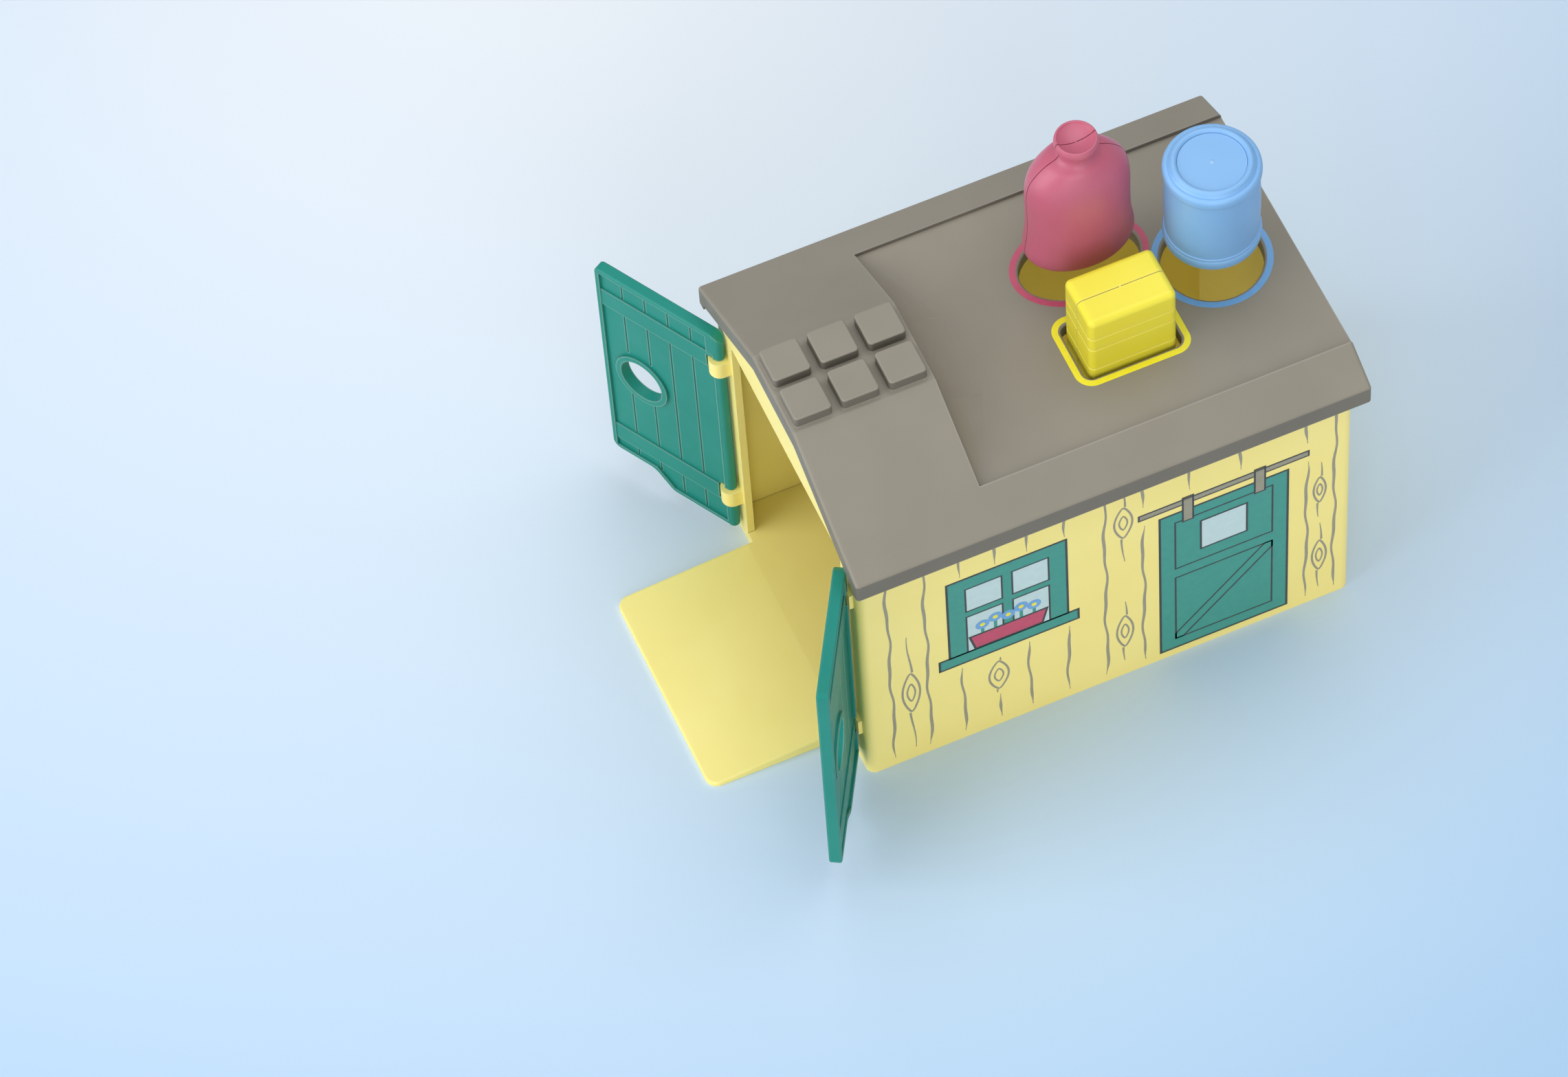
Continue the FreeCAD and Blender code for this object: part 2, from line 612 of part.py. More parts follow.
def make_roof():
    body = add_body("roof_shell")
    sketch = add_sketch(body, "roof_outline", "XZ_Plane", -ROOF_FRONT)
    polygon(sketch, mirrored([(HALF_EAVE, FASCIA_BOTTOM), (HALF_EAVE, EAVE), (HALF_RIDGE, RIDGE_TOP)]))
    add_feature(body, "Pad", sketch, ROOF_LENGTH, backward=True)

    def outer_edge(edge):
        point = middle_of(edge)
        on_end = near(point.y, ROOF_FRONT) or near(point.y, ROOF_BACK)
        on_eave = near(abs(point.x), HALF_EAVE)
        return (on_end or on_eave) and point.z > FASCIA_BOTTOM.value + 0.05

    round_edges(body, "roof_edges", s.roof_edge, outer_edge)

    sketch = add_sketch(body, "sunk_panel", "XY_Plane", PANEL_TOP)
    rectangle(sketch, -HALF_RECESS, HALF_RECESS, RECESS_FRONT, ROOF_BACK + BEYOND)
    add_feature(body, "Pocket", sketch, s.roof_rise + BEYOND, backward=True)
    add_cove(body)

    front_face = WALL_FRONT - s.seat_gap
    back_face = WALL_BACK + s.seat_gap
    step = RECESS_FRONT - s.panel_thickness
    hollow(body, "front_lip", ROOF_FRONT - BEYOND, front_face + OVERLAP, high_ceiling(s.lip_depth))
    hollow(body, "front_room", front_face, step, high_ceiling(s.roof_skin))
    hollow(body, "rear_room", step, back_face, low_ceiling(PANEL_BOTTOM))
    lip_level = PANEL_TOP - s.lip_depth
    rear_lip = [(EAVE_INSIDE, lip_level)]
    hollow(body, "rear_lip", back_face - OVERLAP, ROOF_BACK + BEYOND, rear_lip)

    sketch = add_sketch(body, "collars", "XY_Plane", HOLE_BOTTOM)
    draw_holes(sketch, s.collar_wall)
    add_feature(body, "Pad", sketch, PANEL_BOTTOM - HOLE_BOTTOM + OVERLAP)
    sketch = add_sketch(body, "sorting_holes", "XY_Plane", PANEL_TOP)
    draw_holes(sketch, ZERO)
    add_feature(body, "Pocket", sketch, s.collar_depth + BEYOND)

    def hole_edge(edge):
        point = middle_of(edge)
        behind = RECESS_FRONT.value + s.cove_run.value < point.y < ROOF_BACK.value - 1.0
        return near(point.z, PANEL_TOP) and behind and abs(point.x) < HALF_RECESS.value - 1.0

    round_edges(body, "hole_edges", s.hole_edge, hole_edge)

    sketch = add_sketch(body, "tiles", "XY_Plane", RIDGE_TOP - OVERLAP)
    for across in (-s.tile_pitch / 2, s.tile_pitch / 2):
        for row in range(3):
            along = ROOF_FRONT + s.tile_setback + row * s.tile_pitch
            rounded_rectangle(sketch, across, along, s.tile_side / 2, s.tile_side / 2, s.tile_corner)
    add_feature(body, "Pad", sketch, s.tile_height + OVERLAP)
    tile_top = RIDGE_TOP + s.tile_height
    round_edges(body, "tile_edges", s.tile_edge, lambda edge: near(middle_of(edge).z, tile_top))

    def tile_foot(edge):
        point = middle_of(edge)
        on_ridge = all(near(vertex.Point.z, RIDGE_TOP) for vertex in edge.Vertexes)
        front, back = (ROOF_FRONT + s.roof_edge).value, RECESS_FRONT.value
        inside = abs(point.x) < HALF_RIDGE.value - 0.1 and front + 0.1 < point.y < back - 0.1
        return on_ridge and inside

    round_edges(body, "tile_feet", s.tile_foot, tile_foot)

    barb = ROOF_LEDGE - s.hook_gap
    add_hooks(body, "roof", roof_top(HOOK_OUTSIDE) - s.roof_skin / 2, barb, barb - s.ledge_height)
    return body


def add_cove(body):
    """Hollow curve from the roof down to the sunk panel, drawn at the borders and the bends."""
    sections = []
    for across in (-HALF_RECESS, -HALF_RIDGE, HALF_RIDGE, HALF_RECESS):
        on_ridge = abs(across.value) < HALF_RECESS.value - 0.01
        top = RIDGE_TOP if on_ridge else roof_top(HALF_RECESS)
        height = top - PANEL_TOP
        run = s.cove_run * height / (RIDGE_TOP - PANEL_TOP)
        radius = (run * run + height * height) / (2 * height)
        foot = RECESS_FRONT + run
        sketch = add_sketch(body, f"cove_{len(sections)}", "YZ_Plane", across)
        corners = [(foot, PANEL_TOP), (RECESS_FRONT, PANEL_TOP), (RECESS_FRONT, top)]
        polygon(sketch, corners, arcs={2: (foot, PANEL_TOP + radius)})
        sections.append(sketch)
    doc.recompute()
    cove = body.newObject("PartDesign::AdditiveLoft", "cove")
    cove.Profile = sections[0]
    cove.Sections = sections[1:]
    cove.Ruled = True
    doc.recompute()


# Doors: a bordered plank panel with an oval window, notched for the lugs and their pins
def make_door(label, side):
    """Door drawn closed about its hinge axis, then turned open."""
    body = add_body(label)

    def mirror(points):
        return [(-side * as_size(x), y) for x, y in points]

    step_end = s.door_step_from + s.door_step_run
    raised = s.door_bottom + s.door_step
    sketch = add_sketch(body, f"{label}_outline", "XZ_Plane", HALF_DOOR)
    outline = [(0, s.door_bottom), (s.door_step_from, s.door_bottom), (step_end, raised),
               (DOOR_WIDTH, raised), (DOOR_WIDTH, s.door_top), (0, s.door_top)]
    polygon(sketch, mirror(outline))
    add_feature(body, "Pad", sketch, s.door_thickness, backward=True)

    def corner_at(x, z):
        return lambda edge: (runs_along(edge, 1) and near(abs(middle_of(edge).x), x)
                             and near(middle_of(edge).z, z))

    round_edges(body, f"{label}_top_corner", s.door_top_corner, corner_at(DOOR_WIDTH, s.door_top))
    round_edges(body, f"{label}_low_corner", s.door_corner, corner_at(DOOR_WIDTH, raised))
    round_edges(body, f"{label}_step_hollow", s.step_hollow, corner_at(step_end, raised))
    round_edges(body, f"{label}_step_round", s.door_corner, corner_at(s.door_step_from, s.door_bottom))
    round_edges(body, f"{label}_edges", s.door_edge,
                lambda edge: all(near(abs(vertex.Point.y), HALF_DOOR) for vertex in edge.Vertexes)
                and not runs_along(edge, 1))

    knuckle = HALF_DOOR - s.knuckle_inset
    sketch = add_sketch(body, f"{label}_knuckle", "XY_Plane", s.door_bottom)
    circle(sketch, 0, 0, knuckle)
    add_feature(body, "Pad", sketch, s.door_top - s.door_bottom)
    cut_hinge_corner(body, label, mirror)
    for face in (LEFT, RIGHT):
        cut_panels(body, f"{label}_{'inner' if face == RIGHT else 'outer'}", face, mirror)

    sketch = add_sketch(body, f"{label}_window", "XZ_Plane", HALF_DOOR + BEYOND)
    x = mirror([(WINDOW_X, ZERO)])[0][0]
    upright_ellipse(sketch, x, s.window_height, s.window_across, s.window_upright)
    add_feature(body, "Pocket", sketch, s.door_thickness + 2 * BEYOND)

    sketch = add_sketch(body, f"{label}_notches", "XZ_Plane", HALF_DOOR + BEYOND)
    for low in LUG_BOTTOMS:
        bottom = low - s.notch_gap
        top = low + s.lug_height + s.notch_gap
        polygon(sketch, mirror([(-HALF_DOOR - BEYOND, bottom), (NOTCH_END, bottom), (NOTCH_END, top),
                                (-HALF_DOOR - BEYOND, top)]))
    add_feature(body, "Pocket", sketch, s.door_thickness + 2 * BEYOND)
    for name, low in zip(("upper", "lower"), LUG_BOTTOMS):
        sketch = add_sketch(body, f"{label}_{name}_pin", "XY_Plane", low - s.notch_gap - OVERLAP)
        circle(sketch, 0, 0, s.pin_radius)
        add_feature(body, "Pad", sketch, s.lug_height + 2 * s.notch_gap + 2 * OVERLAP)

    turn = side * sheet.get("door_angle")
    body.Placement = Placement(Vector(0, 0, 0), Rotation(Vector(0, 0, 1), turn))
    body.setExpression("Placement.Base.x", (side * HINGE_X).formula)
    body.setExpression("Placement.Base.y", HINGE_Y.formula)
    return body


def cut_hinge_corner(body, label, mirror):
    """Round the upper corner at the hinge side across knuckle and panel."""
    radius = s.hinge_corner
    outside = -HALF_DOOR - BEYOND
    middle = (radius - HALF_DOOR, s.door_top - radius + OVERCUT)
    low_end = (-HALF_DOOR, middle[1])
    high_end = (middle[0], middle[1] + radius)
    beyond = s.door_top + BEYOND
    corners = [low_end, high_end, (middle[0], beyond), (outside, beyond), (outside, middle[1])]
    sketch = add_sketch(body, f"{label}_hinge_corner", "XZ_Plane", HALF_DOOR + BEYOND)
    polygon(sketch, mirror(corners), arcs={0: mirror([middle])[0]})
    add_feature(body, "Pocket", sketch, s.door_thickness + 2 * BEYOND)


def cut_panels(body, name, face, mirror):
    """Sink the planks and, less deep, the cross rails into one face; then cut the plank joints."""
    lift = -face * HALF_DOOR
    inward = face == RIGHT
    free = DOOR_WIDTH - s.door_border
    rails = [(low, low + s.rail_height) for low in (s.rail_lower, s.rail_upper)]
    near_hinge = HALF_DOOR / 2
    corner_side = s.door_border * 2
    head = s.door_top - s.door_border
    low = s.door_bottom + s.door_border
    raised = low + s.door_step
    step_end = s.door_step_from + s.door_step_run
    inside = s.door_border / 2
    sketch = add_sketch(body, f"{name}_planks", "XZ_Plane", lift)
    polygon(sketch, mirror([(near_hinge, low), (s.door_step_from - inside, low), (step_end - inside, raised),
                            (free, raised), (free, rails[0][0]), (near_hinge, rails[0][0])]))
    polygon(sketch, mirror([(near_hinge, rails[0][1]), (free, rails[0][1]), (free, rails[1][0]),
                            (near_hinge, rails[1][0])]))
    rim_across = s.window_across + s.window_rim
    rim_upright = s.window_upright + s.window_rim
    x = mirror([(WINDOW_X, ZERO)])[0][0]
    upright_ellipse(sketch, x, s.window_height, rim_across, rim_upright)
    polygon(sketch, mirror([(corner_side, rails[1][1]), (free, rails[1][1]), (free, head),
                            (corner_side, head)]))
    add_feature(body, "Pocket", sketch, s.panel_depth, backward=inward)

    sketch = add_sketch(body, f"{name}_rails", "XZ_Plane", lift)
    for bottom, top in rails:
        polygon(sketch, mirror([(near_hinge, bottom), (free, bottom), (free, top), (near_hinge, top)]))
    add_feature(body, "Pocket", sketch, s.rail_depth, backward=inward)

    sketch = add_sketch(body, f"{name}_joints", "XZ_Plane", lift + face * s.panel_depth)
    half = s.joint_width / 2
    below_rim = s.window_height - rim_upright
    above_rim = s.window_height + rim_upright
    for number in range(4):
        place = s.plank_first + number * s.plank_pitch
        crosses_window = abs(place.value - WINDOW_X.value) < rim_across.value
        foot = raised if place.value > step_end.value else low
        spans = [(foot, rails[0][0]), (rails[1][1], head)]
        if crosses_window:
            spans += [(rails[0][1], below_rim), (above_rim, rails[1][0])]
        else:
            spans += [(rails[0][1], rails[1][0])]
        for bottom, top in spans:
            polygon(sketch, mirror([(place - half, bottom), (place + half, bottom), (place + half, top),
                                    (place - half, top)]))
    add_feature(body, "Pocket", sketch, s.joint_depth, backward=inward)


# Sorting blocks
# Rings of the sack: share of its height, then shares of its half length, half width and knob radius
SACK_RINGS = (
    (0.0, 0.83, 0.80, 0.0), (0.016, 0.93, 0.90, 0.0), (0.07, 1.0, 0.975, 0.0), (0.19, 0.971, 1.0, 0.0),
    (0.30, 0.944, 1.0, 0.0), (0.45, 0.94, 0.985, 0.0), (0.577, 0.944, 0.955, 0.0), (0.65, 0.927, 0.92, 0.0),
    (0.723, 0.868, 0.86, 0.0), (0.798, 0.702, 0.74, 0.0), (0.847, 0.32, 0.34, 0.5), (0.893, 0.0, 0.0, 0.86),
    (0.925, 0.0, 0.0, 0.89), (0.955, 0.0, 0.0, 0.985), (0.98, 0.0, 0.0, 1.0), (1.0, 0.0, 0.0, 0.93),
)
HOLLOW_RINGS = SACK_RINGS[2:10]


def sack_loft(name, shrink, rings):
    """Smooth loft through flat rings; shrink is the wall taken off for the hollow."""
    sections = []
    for number, (level, length, width, knob) in enumerate(rings):
        ring = doc.addObject("Part::Ellipse", f"{name}_ring_{number}")
        half_length = s.sack_half_length * length + s.sack_knob * knob - shrink
        half_width = SACK_HALF_WIDTH * width + s.sack_knob * knob - shrink
        ring.setExpression("MajorRadius", half_length.formula)
        ring.setExpression("MinorRadius", half_width.formula)
        ring.Placement = Placement(Vector(0, 0, 0), Rotation(Vector(0, 0, 1), 90))
        ring.setExpression("Placement.Base.x", s.sack_x.formula)
        ring.setExpression("Placement.Base.y", s.sack_y.formula)
        ring.setExpression("Placement.Base.z", (SACK_BOTTOM + s.sack_height * level).formula)
        sections.append(ring)
    loft = doc.addObject("Part::Loft", name)
    loft.Sections = sections
    loft.Solid = True
    return loft


def make_sack():
    outside = sack_loft("sack_outside", ZERO, SACK_RINGS)
    inside = sack_loft("sack_inside", s.block_wall, HOLLOW_RINGS)
    dish = doc.addObject("Part::Sphere", "sack_dish")
    depth = s.dish_depth
    radius = (s.dish_radius * s.dish_radius + depth * depth) / (2 * depth)
    dish.setExpression("Radius", radius.formula)
    dish.setExpression("Placement.Base.x", s.sack_x.formula)
    dish.setExpression("Placement.Base.y", s.sack_y.formula)
    dish.setExpression("Placement.Base.z", (SACK_BOTTOM + s.sack_height - depth + radius).formula)
    cavity = doc.addObject("Part::Fuse", "sack_cavity")
    cavity.Base = inside
    cavity.Tool = dish
    shell = doc.addObject("Part::Cut", "sack_shell")
    shell.Base = outside
    shell.Tool = cavity
    return [split_half(shell, "sack_left_half", LEFT), split_half(shell, "sack_right_half", RIGHT)]


def split_half(shell, label, side):
    """Keep the part of the sack on one side of its seam."""
    box = doc.addObject("Part::Box", f"{label}_box")
    length = SACK_HALF_WIDTH + BEYOND
    start = s.sack_x + s.seam_groove / 2 if side == RIGHT else s.sack_x - s.seam_groove / 2 - length
    box.setExpression("Length", length.formula)
    box.setExpression("Width", (2 * s.sack_half_length + 2 * BEYOND).formula)
    box.setExpression("Height", (s.sack_height + 2 * BEYOND).formula)
    box.setExpression("Placement.Base.x", start.formula)
    box.setExpression("Placement.Base.y", (s.sack_y - s.sack_half_length - BEYOND).formula)
    box.setExpression("Placement.Base.z", (SACK_BOTTOM - BEYOND).formula)
    half = doc.addObject("Part::Common", label)
    half.Base = shell
    half.Tool = box
    half.Label = label
    return half


def make_bale_half(label, side):
    body = add_body(label)
    seam = s.bale_x + side * (s.seam_groove / 2)
    outside = s.bale_x + side * (s.bale_width / 2)
    half_length = s.bale_length / 2
    sketch = add_sketch(body, f"{label}_outline", "XY_Plane", BALE_BOTTOM)
    rectangle(sketch, seam, outside, s.bale_y - half_length, s.bale_y + half_length)
    add_feature(body, "Pad", sketch, s.bale_height)
    round_edges(body, f"{label}_edges", s.bale_edge,
                lambda edge: not all(near(vertex.Point.x, seam) for vertex in edge.Vertexes))
    for number, drop in enumerate((s.strap_first, s.strap_second)):
        for name, middle in (("top", BALE_TOP - drop), ("low", BALE_BOTTOM + drop)):
            sketch = add_sketch(body, f"{label}_{name}_line_{number}", "XY_Plane", middle - s.strap_line / 2)
            wide = s.bale_width / 2
            rectangle(sketch, s.bale_x - wide - BEYOND, s.bale_x + wide + BEYOND,
                      s.bale_y - half_length - BEYOND, s.bale_y + half_length + BEYOND)
            rounded_rectangle(sketch, s.bale_x, s.bale_y, wide - s.strap_depth, half_length - s.strap_depth,
                              s.bale_edge)
            add_feature(body, "Pocket", sketch, s.strap_line, backward=True)
            lower_edge = middle - s.strap_line / 2

            def below_line(edge):
                point = middle_of(edge)
                level = all(near(vertex.Point.z, lower_edge) for vertex in edge.Vertexes)
                beside = abs(point.x - s.bale_x.value) > (wide - s.strap_depth).value + 0.02
                at_end = abs(point.y - s.bale_y.value) > (half_length - s.strap_depth).value + 0.02
                return level and (beside or at_end)

            round_edges(body, f"{label}_{name}_bevel_{number}", s.strap_bevel, below_line, kind="Chamfer")
    sketch = add_sketch(body, f"{label}_hollow", "YZ_Plane", seam)
    rectangle(sketch, s.bale_y - half_length + s.block_wall, s.bale_y + half_length - s.block_wall,
              BALE_BOTTOM + s.block_wall, BALE_TOP - s.block_wall)
    depth = s.bale_width / 2 - s.seam_groove / 2 - s.block_wall
    add_feature(body, "Pocket", sketch, depth, backward=side == RIGHT)
    return body


def make_barrel():
    """Turned barrel with two hoops and a seat for its lid."""
    body = add_body("barrel_body")
    height = s.barrel_height
    bore = s.lid_radius + s.lid_gap
    stave = s.barrel_radius - s.hoop_step
    hoop_end = s.hoop_start + s.hoop_width
    stave_end = hoop_end + s.hoop_step / 2
    bead_middle = (bore + s.barrel_rim) / 2
    bead_reach = bead_middle - bore
    bead_radius = (bead_reach * bead_reach + s.rim_bead * s.rim_bead) / (2 * s.rim_bead)
    hoop_rise = s.barrel_radius - s.hoop_foot
    hoop_radius = (hoop_rise * hoop_rise + s.hoop_width * s.hoop_width) / (2 * hoop_rise)
    stave_reach = height / 2 - stave_end
    stave_radius = (stave_reach * stave_reach + s.hoop_step * s.hoop_step) / (2 * s.hoop_step)
    hoop_middle = s.barrel_radius - hoop_radius
    seat = height - s.lid_sink - s.lid_thickness
    ledge = s.lid_radius - s.block_wall / 2
    hollow_radius = stave - s.block_wall
    floor = s.lid_sink + s.block_wall
    low = [(bore, s.rim_bead), (s.barrel_rim, s.rim_bead), (s.hoop_foot, s.hoop_start),
           (s.barrel_radius, hoop_end), (stave, stave_end)]
    high = [(radius, height - level) for radius, level in reversed(low)]
    inside = [(bore, seat), (ledge, seat), (ledge, seat - s.block_wall / 2),
              (hollow_radius, height - hoop_end - s.block_wall), (hollow_radius, hoop_end), (ledge, floor),
              (0, floor)]
    outline = [(0, s.lid_sink), (bore, s.lid_sink)] + low + high + inside
    arcs = {
        2: (bead_middle, bead_radius),
        4: (hoop_middle, hoop_end),
        6: (s.barrel_radius - stave_radius, height / 2),
        8: (hoop_middle, height - hoop_end),
        10: (bead_middle, height - bead_radius),
    }
    sketch = add_sketch(body, "barrel_profile", "XZ_Plane")
    polygon(sketch, outline, arcs)
    doc.recompute()
    turned = body.newObject("PartDesign::Revolution", "barrel_turned")
    turned.Profile = sketch
    turned.ReferenceAxis = (sketch, ["V_Axis"])
    turned.Angle = 360
    doc.recompute()

    lid = add_body("barrel_lid")
    sketch = add_sketch(lid, "lid_disc", "XY_Plane", seat)
    circle(sketch, 0, 0, s.lid_radius)
    add_feature(lid, "Pad", sketch, s.lid_thickness)
    for item in (body, lid):
        item.setExpression("Placement.Base.x", s.barrel_x.formula)
        item.setExpression("Placement.Base.y", s.barrel_y.formula)
        item.setExpression("Placement.Base.z", BARREL_BOTTOM.formula)
    return [body, lid]


pieces = [make_walls(), make_floor(), make_roof()]
pieces += [make_door("left_door", LEFT), make_door("right_door", RIGHT)]
pieces += make_sack()
pieces += [make_bale_half("bale_left_half", LEFT), make_bale_half("bale_right_half", RIGHT)]
pieces += make_barrel()
doc.recompute()

# Check every object, then write one file for each piece
for item in doc.Objects:
    if {"Invalid", "Error"} & set(item.State):
        raise RuntimeError(f"{item.Name} does not recompute: {item.State}")
os.makedirs("parts", exist_ok=True)
for piece in pieces:
    shape = piece.Shape
    if shape.isNull() or not shape.isValid() or len(shape.Solids) != 1:
        raise RuntimeError(f"{piece.Label} is not one valid solid")
    shape.exportStep(f"parts/{piece.Label}.step")
    print(piece.Label, "volume", round(shape.Volume / 1000, 1), "cm3")
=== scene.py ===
# %% [markdown]
# # A toy farmhouse in moulded plastic
# The house, its doors and its three sorting blocks come from the solid model, already in their places.
# Blender adds what a solid model lacks: the feel of moulded plastic, the inks printed on the walls and
# around the sorting holes, the small marks that a mould leaves, and the light of a studio.

# %% Load the solid model
import bpy
import numpy as np
from mathutils import Matrix


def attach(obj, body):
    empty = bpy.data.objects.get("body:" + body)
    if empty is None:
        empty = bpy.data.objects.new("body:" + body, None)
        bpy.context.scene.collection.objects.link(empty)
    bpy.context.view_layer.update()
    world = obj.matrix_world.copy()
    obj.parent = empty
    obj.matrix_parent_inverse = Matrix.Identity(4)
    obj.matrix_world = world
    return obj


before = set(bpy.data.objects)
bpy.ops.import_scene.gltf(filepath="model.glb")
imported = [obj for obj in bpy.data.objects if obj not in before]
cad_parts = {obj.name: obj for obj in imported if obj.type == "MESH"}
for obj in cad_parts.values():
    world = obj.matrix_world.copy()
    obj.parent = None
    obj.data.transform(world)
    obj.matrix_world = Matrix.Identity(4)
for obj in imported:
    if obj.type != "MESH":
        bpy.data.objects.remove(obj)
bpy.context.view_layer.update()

MM = 0.001
scene = bpy.context.scene
scene.view_settings.view_transform = "Standard"
print("solid pieces:", ", ".join(sorted(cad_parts)))

# %% [markdown]
# ## The camera
# The straight edges of the roof run to three vanishing points, and these give the lens and the direction
# of view. A camera can be aimed with a Track To constraint, but here its matrix is written out, because
# the view is also rolled a little. The columns of the matrix are the camera's right, up and backward axes.

# %% Camera
FOCAL_LENGTH, SENSOR_WIDTH = 179.15, 36.0  # millimetres
CAMERA_PLACE = (1.4269, -0.59775, 2.4004)  # metres
azimuth, elevation, roll = np.radians([70.709, 57.016, -4.886])
backward = np.array([np.sin(azimuth) * np.cos(elevation),
                     -np.cos(azimuth) * np.cos(elevation),
                     np.sin(elevation)])
level_right = np.array([np.cos(azimuth), np.sin(azimuth), 0.0])
level_up = np.cross(backward, level_right)
right = np.cos(roll) * level_right + np.sin(roll) * level_up
up = np.cos(roll) * level_up - np.sin(roll) * level_right

lens = bpy.data.cameras.new("studio_camera")
lens.lens = FOCAL_LENGTH
lens.sensor_fit = "HORIZONTAL"
lens.sensor_width = SENSOR_WIDTH
lens.clip_end = 50.0
camera = bpy.data.objects.new("studio_camera", lens)
scene.collection.objects.link(camera)
pose = np.eye(4)
pose[:3, :3] = np.column_stack([right, up, backward])
pose[:3, 3] = CAMERA_PLACE
camera.matrix_world = Matrix(pose.tolist())
scene.camera = camera
print("camera", round(float(np.linalg.norm(CAMERA_PLACE)), 2), "m from the house")

# %% [markdown]
# ## Colours and nodes
# Colours are easiest to compare as the hex codes of a paint program, but a renderer adds up light, which
# needs linear values. One function does the change. A second one adds a shader node, sets it and links it,
# so that a material reads as a short list of steps. Two steps that come back, a ramp between two colours
# and a mix of two colours, have functions of their own.

# %% Colour and node helpers
def linear(code):
    """Linear RGBA of an sRGB hex code: x / 12.92 near black, else ((x + 0.055) / 1.055)^2.4."""
    srgb = np.array([int(code[i:i + 2], 16) for i in (1, 3, 5)]) / 255
    rgb = np.where(srgb <= 0.04045, srgb / 12.92, ((srgb + 0.055) / 1.055) ** 2.4)
    return (*rgb.tolist(), 1.0)


def add_node(tree, kind, inputs=None, **settings):
    """Add a node; inputs gives a value or a (node, output) pair for each socket."""
    node = tree.nodes.new(kind)
    for name, value in settings.items():
        setattr(node, name, value)
    for socket, value in (inputs or {}).items():
        if isinstance(value, tuple) and isinstance(value[0], bpy.types.Node):
            tree.links.new(value[0].outputs[value[1]], node.inputs[socket])
        else:
            node.inputs[socket].default_value = value
    return node


def colour_ramp(tree, value, start, end, first, last):
    """Node that goes from the first hex colour to the last one as the value goes from start to end."""
    node = add_node(tree, "ShaderNodeValToRGB", {"Fac": value})
    low, high = node.color_ramp.elements
    low.position, high.position = start, end
    low.color, high.color = linear(first), linear(last)
    return node


def mix_colours(tree, share, first, second):
    """Output of a Mix node for colours, whose colour sockets are inputs 6 and 7 and output 2."""
    return add_node(tree, "ShaderNodeMix", {0: share, 6: first, 7: second}, data_type="RGBA"), 2


def new_material(name):
    """Material with an empty node tree."""
    material = bpy.data.materials.new(name)
    material.use_nodes = True
    material.node_tree.nodes.clear()
    return material, material.node_tree


# %% [markdown]
# ## Moulded ABS
# All the pieces are injection-moulded ABS, dyed through. The steel mould is spark-eroded to a fine matt
# grain, so light spreads into a wide, soft sheen. The melt flows in from one point and cools unevenly,
# which leaves clouds in the gloss some centimetres wide and a trace of them in the colour. Three noise
# patterns give that: clouds for the colour, smaller clouds for the roughness, and a grain for the bump.
# The real grain is about 0.1 mm, too fine for this picture, so it is drawn at 0.5 mm. No mould has razor
# edges either: a Bevel node bends the normals within 0.2 mm of each edge, so that edges catch the light.
# Three more things are set by eye, and their causes are guessed. The doors and the roof have less sheen, as
# a deeper grain would give, though that cause is a guess, so their colour stays full. Edges get a painted
# highlight: a little white is mixed into the colour near each edge, standing in for the light that rounded
# edges catch. An Ambient Occlusion node that looks into the plastic finds the edges, because its short rays
# meet the other side of an edge. The upright faces of the roof and the barrel get painted shade, darkened
# for the lower light they get: the z part of the normal tells how upright a face is.

# %% Plastic
FLOW_CLOUD = 38 * MM
GLOSS_CLOUD = 11 * MM
MOULD_GRAIN, GRAIN_DEPTH = 0.5 * MM, 0.05 * MM
EDGE_ROUND = 0.2 * MM
EDGE_HIGHLIGHT_REACH = 0.5 * MM
EDGE_SAMPLES = 6
ABS_IOR = 1.54


